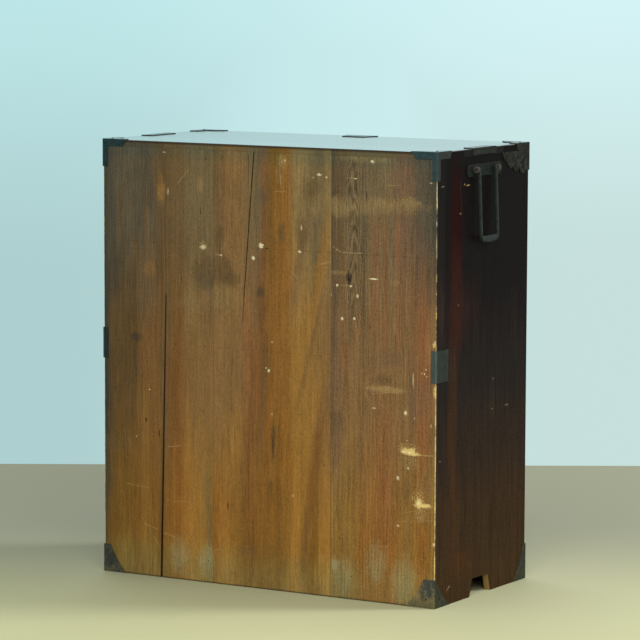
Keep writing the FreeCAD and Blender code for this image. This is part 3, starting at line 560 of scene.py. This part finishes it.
def side_lacquer():
    """Dark lacquer that has thinned to a red band, with a painted shadow between the legs of the
    carrying handle, and bare wood on the inner face.
    """
    wood = Face("side_lacquer", from_back)
    lines = wood.clouds((2.6, 2.6, 120), 41, 3, 0.75)
    broad = wood.clouds((14, 14, 380), 43, 3)
    specks = wood.clouds((3, 3, 4), 44, 2, 0.8)
    colour = side_tones(wood)
    for band, strength, hue in (
            (wood.streak(20, 26, 300, 1000), 0.5, (34, 28, 27)),
            (wood.streak(86, 42, 740, 960), 0.95, (34, 4, 2)),
            (wood.streak(88, 42, 560, 780), 0.6, (56, 21, 11)),
            (wood.streak(22, 22, 600, 700), 0.4, (68, 50, 44)),
            (wood.streak(120, 110, 600, 690), 0.35, (60, 33, 26)),
            (wood.streak(78, 34, 40, 560), 0.6, (66, 42, 24)),
            (wood.patch(125, 80, 40, 34), 0.5, (76, 46, 22)),
            # a painted shadow between the legs of the carrying handle, under its plate
            (wood.patch(214, 880, 26, 80), 0.8, (14, 6, 5)),
            (wood.streak(365, 16, 560, 640), 0.3, (52, 34, 26))):
        colour = wood.mix(band * strength, colour, tone(*hue))
    colour = wood.shade(colour, lines * 0.5 + broad * 0.14 + specks * 0.5)
    colour = wood.mix(wood.patch(262, 440, 11, 46) * wood.step(lines, -0.6, 1) * 0.05, colour, DUST)
    # The photographed side and the other one have chips of their own.
    unseen = wood.marked(colour, wood.chip, [
        (64, 786, 5, 1.8, 0.5), (216, 642, 3, 2, 0.5), (322, 872, 7, 1.6, 0.5),
        (182, 304, 2.4, 5, 0.4), (392, 506, 2, 6, 0.4), (118, 140, 4, 1.6, 0.4)], BEIGE, 0.6)
    seen = wood.marked(colour, wood.chip, [
        (25, 925, 8, 1.8, 0.4), (140, 921, 9, 1.6, 0.9), (124, 924, 3, 2.2, 0.7),
        (105, 861, 5, 1.8, 0.5), (265, 480, 4, 1.2, 0.5), (332, 413, 7, 1.8, 0.5),
        (20, 324, 4, 2, 0.4), (262, 412, 4, 2, 0.3), (100, 660, 4, 2, 0.25)], BEIGE, 0.7)
    seen = wood.marked(seen, wood.scratch, [(104, 935, 112, 850, 0.4)], DUST, 0.25)
    seen = wood.marked(seen, wood.scratch, [(52, 31, 71, 42, 1.2)], BEIGE, 0.6)
    colour = wood.mix(wood.step(wood.x, 0, -1), unseen, seen)
    colour = wood.mix(edge_wear_and_glint(wood, 1.4, 0.1, 0.3) * 0.4, colour, tone(100, 80, 52))
    outer = wood.step(abs(wood.x), HALF_WIDTH - 3, HALF_WIDTH - 1)
    lid = wood.step(wood.z, TOP_Z - 2, TOP_Z - 1)
    for face in (wood.step(wood.y, -206, -208), lid):
        outer = wood.maths("MAXIMUM", outer, face)
    colour = wood.mix(lid, colour, wood.shade(tone(60, 38, 27), lines * 0.2))
    bare = wood.shade(tone(150, 120, 78), lines * 0.12)
    colour = wood.mix(outer, bare, colour)
    notch = wood.step(wood.z, NOTCH_TOP + 2, NOTCH_TOP - 4) * (1 - outer)
    colour = wood.mix(notch, colour, tone(150, 122, 76))
    return wood.done(colour, 0.42 + broad * 0.04 - lid * 0.26, lines * 0.6 + specks * 0.4, 0.12,
                     Coat_Weight=lid * 0.87, Coat_Roughness=0.12, Coat_IOR=1.5,
                     Specular_IOR_Level=0.02)


def top_lacquer():
    """Polished lacquer, rubbed through at its edges, over a bare brown edge at the back that has a
    painted shadow line along its top.
    """
    wood = Face("top_lacquer", from_back)
    lines = wood.clouds((200, 2.4, 2.4), 43, 3, 0.7)
    broad = wood.clouds((300, 14, 14), 44, 2)
    scuff = wood.clouds((90, 40, 40), 45, 4, 0.7)
    grain = wood.clouds((5, 5, 60), 47, 3, 0.7)
    colour = wood.mix(wood.step(scuff, -1, 1.6) * 0.6, tone(48, 30, 22), tone(78, 50, 34))
    colour = wood.shade(colour, lines * 0.12 + broad * 0.1)
    colour = wood.mix(edge_wear_and_glint(wood, 1.6, 0.1, 0.3) * 0.4, colour, tone(110, 84, 54))
    back = wood.step(wood.facing[1], 0.5, 0.9)
    edge = wood.ramp((HALF_WIDTH - wood.x) / WIDTH, [(x / WIDTH, hue) for x, hue in CROWNS])
    edge = wood.shade(edge, wood.clouds((2.6, 2.6, 60), 4, 4, 0.8) * 0.24 + grain * 0.16 - 0.08)
    edge = wood.vector("MULTIPLY", edge, (0.88, 1.0, 1.2))
    # a painted shadow line just below the top arris of the back edge
    edge = wood.mix(wood.step(wood.z + grain * 1.2, TOP_Z - 7.5, TOP_Z - 3) * 0.8, edge, CHAR_AND_SHADOW)
    edge = wood.mix(wood.step(wood.z, TOP_Z - 14, TOP_Z - 14.8) * 0.25, edge, CHAR_AND_SHADOW)
    colour = wood.mix(back, colour, edge)
    ends = wood.step(abs(wood.facing[0]), 0.5, 0.9)
    colour = wood.mix(ends, colour, wood.shade(tone(20, 13, 12), grain * 0.3))
    under = wood.step(wood.facing[2], -0.3, -0.7)
    colour = wood.mix(under, colour, tone(150, 120, 78))
    dull = wood.maths("MAXIMUM", wood.maths("MAXIMUM", back, ends), under)
    coat = (1 - dull) * (wood.step(wood.along, 170, 60) * 0.07 + 0.83)
    return wood.done(colour, 0.16 + abs(scuff) * 0.04 + dull * 0.45, lines, 0.03,
                     Coat_Weight=coat, Coat_Roughness=0.12, Coat_IOR=1.5, Specular_IOR_Level=0.1)


def rail_lacquer():
    """Lacquer on the front edges of the shelves, and bare wood behind them."""
    wood = Face("rail_lacquer")
    lines = wood.clouds((200, 2.4, 2.4), 46, 3, 0.7)
    colour = wood.shade(tone(46, 30, 22), lines * 0.15)
    colour = wood.mix(edge_wear_and_glint(wood, 1.6, 0.1, 0.3) * 0.7, colour, tone(128, 100, 66))
    deep = wood.step(wood.y, -200, -190)
    colour = wood.mix(deep, colour, wood.shade(tone(150, 120, 78), lines * 0.1))
    return wood.done(colour, 0.34 + deep * 0.3, lines, 0.06, Specular_IOR_Level=0.4)


put_on(["side_left", "side_right"], side_lacquer())
put_on(["top_board"], top_lacquer())
put_on(["base_rail"] + [f"drawer_divider_{n}" for n in (1, 2, 3)], rail_lacquer())


def front_lacquer():
    """Zelkova under clear brown lacquer, and bare wood inside."""
    wood = Face("front_lacquer")
    drawer = wood.maths("FLOOR", (wood.z - FLOOR_Z) / DRAWER_PITCH)
    bend = wood.clouds((260, 60, 70), 52, 3, 0.45)
    sway = wood.clouds((60, 8, 9), 53, 3) * 0.9
    rings = wood.maths("SINE", (wood.z + bend * 46 + drawer * 31) / 2.6 + sway)
    lines = wood.clouds((90, 2, 1.6), 54, 4, 0.75)
    pores = wood.clouds((16, 2, 1.3), 56, 2, 0.6)
    faded = wood.step(wood.clouds((190, 50, 44), 55, 3), -1, 1.4)
    hue = wood.mix(faded, tone(104, 58, 30), tone(84, 44, 25))
    colour = wood.mix(wood.step(rings + lines * 0.3, -0.1, 1.2) * 0.6, hue, tone(46, 24, 16))
    colour = wood.shade(colour, lines * 0.12 + pores * 0.1)
    dim = wood.step(wood.clouds((120, 50, 90), 57, 3), 0.2, 1.8)
    colour = wood.mix(dim * 0.4, colour, tone(38, 21, 15))
    colour = wood.mix(edge_wear_and_glint(wood, 1.8, 0.08, 0.3) * 0.55, colour, tone(140, 102, 62))
    inner = wood.step(wood.facing[1], 0.3, 0.6)
    colour = wood.mix(inner, colour, wood.shade(tone(172, 138, 92), lines * 0.1))
    return wood.done(colour, 0.3 + inner * 0.35, rings * 0.3 + lines * 0.7, 0.08)


put_on([f"drawer_{n}_front" for n in range(1, 5)], front_lacquer())


def inner_wood(name, across):
    """Pale paulownia, with its grain across the chest or from front to back."""
    wood = Face(name)
    grain = wood.clouds((160, 3, 3) if across else (3, 160, 3), 61, 3, 0.6)
    broad = wood.clouds((400, 20, 20) if across else (20, 400, 20), 62, 2)
    colour = wood.mix(grain * 0.35 + broad * 0.25 + 0.5, tone(142, 112, 74), tone(188, 158, 112))
    colour = wood.mix(broad * 0.1 + 0.05, colour, tone(110, 86, 58))
    front = wood.step(wood.facing[1], -0.5, -0.9) * wood.step(wood.y, -203, -206)
    colour = wood.mix(front, colour, wood.shade(tone(52, 32, 22), grain * 0.2))
    return wood.done(colour, 0.65 - front * 0.25, grain, 0.15, Specular_IOR_Level=0.3)


plain, crossways = inner_wood("inner_wood", False), inner_wood("inner_wood_across", True)
put_on(["bottom_board"], plain)
for n in range(1, 5):
    put_on([f"drawer_{n}_sides", f"drawer_{n}_bottom"], plain)
    put_on([f"drawer_{n}_back"], crossways)


def foot_wear(metal, colour, near, patches, fine):
    """Rust on an iron foot, and on the photographed side its back, faded towards the floor. Its
    side faces carry painted shade, darker and yellower than the rest.
    """
    back = metal.step(metal.facing[1], 0.4, 0.9)
    end, under = metal.step(metal.x, -410, -390), metal.step(metal.z, 32, 10)
    rusty = patches * 0.9 + fine * 0.4 + metal.step(metal.z, 66, 10) * 0.8
    colour = metal.mix(metal.step(rusty, 0.4, 1.6) * 0.6, colour, tone(98, 90, 56))
    colour = metal.shade(colour, near * back * (fine * 0.4 + 0.5))
    faded = metal.maths("MAXIMUM", end, under) + patches * 0.5 + fine * 0.4
    faded = metal.step(faded, -0.1, 1.2) * near
    grain = metal.clouds((2.6, 2.6, 60), 4, 4, 0.8) * 0.3 + patches * 0.12
    dusty = metal.mix(under * 0.7, tone(134, 114, 74), tone(92, 90, 62))
    colour = metal.mix(faded * back * 0.97, colour, metal.shade(dusty, grain))
    # painted shade: the side faces are darker and yellower than the back
    return metal.mix(metal.step(abs(metal.facing[0]), 0.4, 0.9), colour,
                     metal.vector("MULTIPLY", colour, (0.52, 0.53, 0.38)))


def iron(name, dark, pale, glint, foot=False, low=-1.0, sheen=0.2):
    """Forged iron with rust, a painted glint along its edges and a painted highlight on the back
    corner arris, bluer on the back of the chest, and smoother on its top. pale shows more where low
    is lower."""
    metal = Face(name)
    dark, pale, glint = tone(*dark), tone(*pale), tone(*glint)
    patches = metal.clouds((13, 13, 13), 71, 4, 0.65)
    fine = metal.clouds((2.6, 2.6, 2.6), 72, 3, 0.6)
    colour = metal.mix(metal.step(patches + fine * 0.5, low, low + 2.6), dark, pale)
    blue = metal.step(metal.facing[1], 0.4, 0.9) * metal.step(metal.z, 120, 300)
    blue = blue * metal.step(metal.y, 205, 212)
    near = metal.step(metal.x, 0, -1)
    waist = metal.step(metal.z, 700, 600)
    pallor = near * (waist * 1.3 + 0.8)
    teal = metal.mix(near, metal.mix(waist, tone(24, 51, 56), tone(22, 41, 45)),
                     metal.mix(waist, tone(33, 51, 58), tone(41, 47, 48)))
    teal = metal.shade(teal, patches * 0.5 + fine * 0.2 + pallor)
    colour = metal.mix(blue * 0.75, colour, teal)
    colour = metal.mix(metal.step(patches - fine, 0.7, 1.8) * 0.4, colour, tone(62, 48, 36))
    if foot:
        colour = foot_wear(metal, colour, near, patches, fine)
    corner = HALF_WIDTH + BACK_Y
    # a painted highlight in pale teal along the arris of the back corner irons
    dust_and_arris_glint = metal.step(abs(metal.x) + metal.y + fine * 0.5, corner - 0.15, corner + 1.05)
    dust_and_arris_glint = dust_and_arris_glint * metal.step(metal.z + patches * 60, 330, 480) * metal.step(fine, -1.2, 0.8)
    dust_and_arris_glint = dust_and_arris_glint * (0.4 - metal.step(metal.z, 700, 900) * 0.25)
    colour = metal.mix(dust_and_arris_glint, colour, tone(112, 134, 128))
    # a painted glint along the edges, in the glint tone
    colour = metal.mix(edge_wear_and_glint(metal, 0.8, 0.08, 0.35) * 0.35, colour, glint)
    top = metal.step(metal.facing[2], 0.6, 0.9) * metal.step(metal.z, TOP_Z - 10, TOP_Z - 4)
    return metal.done(colour, 0.55 + fine * 0.08 - top * 0.4, patches * 0.6 + fine * 0.4, 0.15,
                      Metallic=sheen / 2, Specular_IOR_Level=sheen)


plate_iron = iron("plate_iron", (26, 29, 28), (46, 47, 43), (84, 96, 92))
put_on(["lobed_corner_plates"],
       iron("front_iron", (18, 17, 15), (80, 77, 68), (60, 60, 54), low=-0.6, sheen=0.05))
put_on(["top_corner_irons_front", "top_edge_straps"],
       iron("edge_iron", (22, 21, 19), (58, 57, 51), (64, 70, 66), sheen=0.05))
put_on(["foot_irons_back", "foot_irons_front"],
       iron("foot_iron", (45, 47, 44), (73, 73, 64), (90, 92, 84), foot=True))
handle_iron = iron("handle_iron", (30, 34, 32), (54, 58, 54), (92, 98, 90), sheen=0.1)
# The carrying handles' plates have a bright painted highlight along their rims, and their posts
# light tones that are painted glints.
put_on(["side_handle_plates"],
       iron("carry_plate", (20, 22, 20), (42, 44, 40), (120, 116, 104), sheen=0.06))
put_on(["side_handle_posts"], iron("post_iron", (50, 48, 44), (112, 98, 82), (140, 130, 114)))
rest = [name for name in nodes if nodes[name].material_slots[0].link == "DATA"]
put_on(rest, plate_iron)
bails = [name for name in nodes if "handle" in name and len(nodes[name].parent.children) == 1]
put_on(bails, handle_iron)


# ---- Forged pieces ----
def loft(name, material, body, strips):
    """A piece made of strips of rings. Each ring is a closed line of points in mm, and a strip
    that doesn't start and end in a hole is capped."""
    made = bmesh.new()
    for rings, capped in strips:
        rows = [[made.verts.new(Vector(point) * MM) for point in ring] for ring in rings]
        for lower, upper in zip(rows, rows[1:]):
            for i in range(len(lower)):
                made.faces.new((lower[i - 1], lower[i], upper[i], upper[i - 1]))
        if capped:
            made.faces.new(rows[0][::-1])
            made.faces.new(rows[-1])
    bmesh.ops.recalc_face_normals(made, faces=made.faces)
    mesh = bpy.data.meshes.new(name)
    made.to_mesh(mesh)
    made.free()
    mesh.shade_smooth()
    mesh.materials.append(material)
    piece = bpy.data.objects.new(name, mesh)
    scene.collection.objects.link(piece)
    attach(piece, body)
    return piece


def between(first, last, count):
    """Evenly spaced numbers from first up to, but without, last."""
    return [first + (last - first) * i / count for i in range(count)]


def turned(axis_point, along, profile, sides=24):
    """Rings of a turned shape. profile gives its distance along the axis and its radius."""
    axis = Vector(along)
    across = axis.orthogonal().normalized()
    other = axis.cross(across)
    angles = between(0, math.tau, sides)
    return [[Vector(axis_point) + axis * run + across * (radius * math.cos(angle))
             + other * (radius * math.sin(angle)) for angle in angles] for run, radius in profile]


def bail_side(half, drop, corner, belly, top, steps):
    """Half of one edge of a U, from its top round one corner to the middle of its foot."""
    legs, bends, feet = steps
    points = [(half, z) for z in between(top, corner - drop, legs)]
    points += [(half - corner + corner * math.cos(a), corner - drop - corner * math.sin(a))
               for a in between(0, math.pi / 2, bends)]
    return points + [((half - corner) * (1 - t), -drop - belly * math.sin(t * math.pi / 2))
                     for t in between(0, 1, feet) + [1.0]]


def forged_bail(name, place, outer, leg, grip, thickness, drop, belly, corner, inner_corner,
                shoulder, pin_tip, pin_radius):
    """A bail hammered from one bar: rounded legs, a deeper foot for the hand, and round pins.
    It is drawn with its hinge axis along X and outward along -Y. outer and pin_tip are measured
    from its middle, and drop and shoulder down and up from the axis."""
    steps = (18, 9, 8)
    outside = bail_side(outer, drop, corner, belly, shoulder, steps)
    inside = bail_side(outer - leg, drop - grip, inner_corner, 0, shoulder, steps)
    half = list(zip(outside, inside))
    rail = half + [((-a[0], a[1]), (-b[0], b[1])) for a, b in half[-2::-1]]
    rings, count = [], len(rail)
    for i, (edge, hollow) in enumerate(rail):
        near_end = min(i, count - 1 - i)
        squeeze = (0.62, 0.9, 1.0)[min(near_end, 2)]
        middle = Vector(((edge[0] + hollow[0]) / 2, 0, (edge[1] + hollow[1]) / 2))
        wide = Vector(((edge[0] - hollow[0]) / 2, 0, (edge[1] - hollow[1]) / 2)) * squeeze
        ring = []
        for j, angle in enumerate(between(0, math.tau, 20)):
            cos, sin = math.cos(angle), math.sin(angle)
            square = (abs(cos) ** 3.2 + abs(sin) ** 3.2) ** (-1 / 3.2)
            dent = 1 - 0.05 * abs(noise.noise(Vector((i * 0.37, j * 0.6, len(name)))))
            point = middle + wide * (cos * square * dent)
            point.y = thickness / 2 * squeeze * sin * square * dent
            ring.append(place @ point)
        rings.append(ring)
    strips = [(rings, True)]
    for end in (-1, 1):
        tip = pin_tip - outer + leg / 2
        profile = [(0, pin_radius), (tip - 0.9, pin_radius), (tip - 0.3, pin_radius * 0.86),
                   (tip, pin_radius * 0.5)]
        start = Vector((end * (outer - leg / 2), 0, 0))
        strips.append(([[place @ point for point in ring]
                        for ring in turned(start, (end, 0, 0), profile)], True))
    piece = loft(f"{name}_forged", handle_iron, name, strips)
    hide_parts(name)


def turned_to(x, y, z, turn=0.0, lean=0.0):
    return (Matrix.Translation((x, y, z)) @ Matrix.Rotation(math.radians(turn), 4, "Z")
            @ Matrix.Rotation(math.radians(-lean), 4, "X"))


CARRY_X, CARRY_Z, CARRY_LEAN = 443.2, 954.0, 2.2        # the lean is in degrees
CARRY_BAIL = {"outer": 43.0, "leg": 9.0, "grip": 14.0, "thickness": 8.0, "drop": 161.5,
              "belly": 1.5, "corner": 20.0, "inner_corner": 5.0, "shoulder": 4.2,
              "pin_tip": 54.6, "pin_radius": 3.15}
PULL_BAIL = {"outer": 39.0, "leg": 7.0, "grip": 8.5, "thickness": 6.0, "drop": 42.0,
             "belly": 2.5, "corner": 11.0, "inner_corner": 4.0, "shoulder": 4.0,
             "pin_tip": 46.6, "pin_radius": 2.65}
PULL_X, PULL_Y = 215.0, -215.45
PULL_HEIGHTS = (897.15, 670.65, 432.65, 187.65)
EYE_X, EYE_REACH, CUP_RIM = 42.5, 2.4, 14.2
FACE_Y = -207.35
LOCK_HEIGHTS = (953.8, 731.8, 500.8, 255.8)
LOCK_RIM = 27.7

for side, label in ((-1, "left"), (1, "right")):
    place = turned_to(side * CARRY_X, MIDDLE_Y, CARRY_Z, side * 90, CARRY_LEAN)
    forged_bail(f"side_handle_{label}", place, **CARRY_BAIL)
    for drawer, height in enumerate(PULL_HEIGHTS, 1):
        place = turned_to(side * PULL_X, PULL_Y, height)
        forged_bail(f"drawer_{drawer}_handle_{label}", place, **PULL_BAIL)


def washer(x, z, hole, radius, profile, sides):
    """Rings of a round plate on the face of a drawer. hole gives a point of its opening for an
    angle, and profile how far out each ring is, from 0 at the hole to 1 at the rim, and its
    height."""
    spokes = [(angle, *hole(angle)) for angle in between(0, math.tau, sides)]
    return [[(x + near + (radius * math.cos(angle) - near) * out, FACE_Y - height,
              z + up + (radius * math.sin(angle) - up) * out) for angle, near, up in spokes]
            for out, height in profile]


def keyhole(angle):
    """An upright slot with round ends."""
    cos, sin = math.cos(angle), math.sin(angle)
    return 2.2 * cos, 4.4 * max(-1, min(1, sin * 3)) + 2.2 * sin


def shank(angle):
    """The square that an eye's shank fills."""
    reach = EYE_REACH / max(abs(math.cos(angle)), abs(math.sin(angle)))
    return reach * math.cos(angle), reach * math.sin(angle)


LOCK_PROFILE = [(0, 0.4), (0, 1.7), (0.03, 1.9), (0.14, 2.3), (0.24, 1.85), (0.6, 1.75),
                (0.8, 1.75), (0.84, 2.15), (0.9, 2.35), (0.96, 2.0), (0.99, 1.4), (1, 0.8),
                (1, 0.05)]
CUP_PROFILE = [(0, 2.0), (0.2, 2.35), (0.5, 2.25), (0.7, 1.9), (0.78, 1.75), (0.86, 2.05),
               (0.93, 1.95), (0.98, 1.4), (1, 0.8), (1, 0.05)]

for drawer, (pull_z, lock_z) in enumerate(zip(PULL_HEIGHTS, LOCK_HEIGHTS), 1):
    body = f"drawer_{drawer}"
    plate = washer(0, lock_z, keyhole, LOCK_RIM, LOCK_PROFILE, 64)
    loft(f"{body}_lock_plate", plate_iron, body, [(plate, False)])
    cups = [(washer(side * PULL_X + end * EYE_X, pull_z, shank, CUP_RIM, CUP_PROFILE, 40), False)
            for side in (-1, 1) for end in (-1, 1)]
    loft(f"{body}_rosettes", plate_iron, body, cups)


# ---- Nails that hold the planks to the shelves behind them ----
def rust():
    metal = Finish("rust")
    patches = metal.clouds((5, 5, 5), 73, 3)
    return metal.done(metal.mix(patches * 0.3 + 0.5, tone(52, 40, 28), tone(82, 62, 42)), 0.7,
                      metal.clouds((1, 1, 1), 74), 0.2, Specular_IOR_Level=0.1)


def nail_heads():
    rows = [(770.7, (92, 135, 262, 345, 415, 540, 600, 720, 790)),
            (539.5, (40, 196, 275, 430, 577, 640, 776, 838)),
            (294.5, (52, 210, 286, 440, 588, 730, 812)),
            (976.0, (120, 232, 425, 652)), (51.0, (190, 284, 470, 660))]
    dome = ((-0.4, 1), (0.1, 1), (0.3, 0.85), (0.42, 0.5), (0.46, 0.1))
    strips = []
    for height, places in rows:
        for place in places:
            off = noise.noise(Vector((place * 0.13, height * 0.07, 0)))
            centre, radius = (HALF_WIDTH - place, BACK_Y, height + 3.5 * off), 1.35 + 0.5 * off
            profile = [(run, radius * share) for run, share in dome]
            strips.append((turned(centre, (0, 1, 0), profile, 12), True))
    loft("back_nail_heads", rust(), "case", strips)


nail_heads()


# ---- Softer edges on the solids ----
def ease(name, width):
    """Rounds the edges of a solid a little."""
    new = nodes[name].modifiers.new
    weld, merge, bevel = new("weld", "WELD"), new("flat", "DECIMATE"), new("bevel", "BEVEL")
    weld.merge_threshold = 0.02 * MM
    merge.decimate_type, merge.angle_limit = "DISSOLVE", math.radians(1)
    bevel.width, bevel.segments = width * MM, 2
    bevel.limit_method, bevel.angle_limit = "ANGLE", math.radians(35)
    bevel.harden_normals = True


for name in nodes:
    if not nodes[name].hide_render:
        ease(name, 0.6 if "wood" in nodes[name].data.materials[0].name else 0.35)


# ---- Stage ----
def flat(name, corners):
    mesh = bpy.data.meshes.new(name)
    mesh.from_pydata(corners, [], [range(len(corners))])
    made = bpy.data.objects.new(name, mesh)
    scene.collection.objects.link(made)
    return made


# The camera stands behind the chest, to the side that it shows, a little above its top.
CAMERA = Vector((-4.0014, 6.7246, 1.4866))
YAW, PITCH, ROLL = (math.radians(angle) for angle in (-30.68, 6.54, -0.19))
LENS, SENSOR = 193.72, 36.0
WALL_DISTANCE, WALL_HEIGHT, ROOM = 9.44, 12, 30

ahead = Vector((-math.sin(YAW) * math.cos(PITCH), -math.cos(YAW) * math.cos(PITCH),
                -math.sin(PITCH)))
level = Vector((-math.cos(YAW), math.sin(YAW), 0))
down = ahead.cross(level)
right = math.cos(ROLL) * level + math.sin(ROLL) * down
up = math.sin(ROLL) * level - math.cos(ROLL) * down

camera = bpy.data.objects.new("camera", bpy.data.cameras.new("camera"))
camera.data.lens, camera.data.sensor_width = LENS, SENSOR
axes = Matrix((right, up, -ahead)).transposed()
camera.matrix_world = Matrix.Translation(CAMERA) @ axes.to_4x4()
camera.data.clip_end = 100
scene.collection.objects.link(camera)
scene.camera = camera

away = Vector((ahead.x, ahead.y, 0)).normalized()


def floor_paint():
    """A plain pale floor with painted shade: a little darker behind the chest, and darker still to
    its left, where the chest's shadow falls.
    """
    paint = Finish("floor")
    depth = paint.x * away.x + paint.y * away.y
    # painted shade: the floor darkens to the left and away behind the chest
    side = paint.step(paint.x * level.x + paint.y * level.y, -650, 50)
    near = paint.mix(side, tone(184, 186, 142), tone(200, 200, 156))
    far = paint.mix(side, tone(130, 133, 113), tone(146, 147, 124))
    colour = paint.mix(paint.step(depth, -800, 700), near, far)
    return paint.done(colour, 0.8, Specular_IOR_Level=0.1)


floor = flat("floor", [(-ROOM, -ROOM, 0), (ROOM, -ROOM, 0), (ROOM, ROOM, 0), (-ROOM, ROOM, 0)])
floor.data.materials.append(floor_paint())
middle = Vector((CAMERA.x, CAMERA.y, 0)) + away * WALL_DISTANCE
reach, rise = level.normalized() * ROOM, Vector((0, 0, WALL_HEIGHT))
wall = flat("wall", [middle - reach, middle + reach, middle + reach + rise, middle - reach + rise])
wall.visible_diffuse = wall.visible_shadow = False


def wall_paint():
    """A pale wall that glows, with painted light that makes it brighter to the right, higher up and
    just above the chest, and can't be seen from behind.
    """
    paint = Finish("wall")
    side = paint.x * level.x + paint.y * level.y
    # painted light: the glow is brighter higher up, just above the chest, and to the right
    centre = paint.step(abs(side), 650, 150) * 0.8
    rise = paint.maths("MAXIMUM", paint.step(paint.z, 500, 1400), centre)
    dull = paint.mix(rise, tone(174, 207, 207), tone(190, 231, 233))
    light = paint.mix(rise, tone(198, 223, 220), tone(213, 244, 246))
    colour = paint.mix(paint.step(side, -800, 800), dull, light)
    glow = paint.fill(paint.node("Emission"), colour).outputs[0]
    clear = paint.node("BsdfTransparent").outputs[0]
    behind = paint.node("NewGeometry").outputs["Backfacing"]
    both = paint.fill(paint.node("MixShader"), behind, glow, clear)
    paint.fill(paint.node("OutputMaterial"), both.outputs[0])
    return paint.material


wall.data.materials.append(wall_paint())


# ---- Light ----
world = bpy.data.worlds.new("world")
world.use_nodes = True
scene.world = world
net = Net(world.node_tree)
path = net.node("LightPath").outputs
seen = net.maths("MAXIMUM", path["Is Camera Ray"], path["Is Glossy Ray"])
sky = net.fill(net.node("Background"), (1, 1, 1, 1), 0.45)
pale = net.fill(net.node("Background"), tone(205, 236, 237), 1.0)
either = net.fill(net.node("MixShader"), seen, sky.outputs[0], pale.outputs[0])
net.fill(net.node("OutputWorld"), either.outputs[0])


def sun(name, towards, strength, spread):
    """A distant lamp in that direction. A broad one leaves no highlight."""
    lamp = bpy.data.lights.new(name, "SUN")
    lamp.energy, lamp.angle = strength, math.radians(spread)
    made = bpy.data.objects.new(name, lamp)
    made.visible_glossy = spread < 30
    made.rotation_euler = Vector(towards).to_track_quat("Z", "Y").to_euler()
    scene.collection.objects.link(made)


sun("key", (-0.42, 0.75, 0.6), 1.7, 45)
sun("window", (-0.62, -0.42, 0.66), 1.5, 14)
sun("fill", (0.6, -0.5, 0.62), 0.9, 60)

scene.view_settings.view_transform = "Standard"
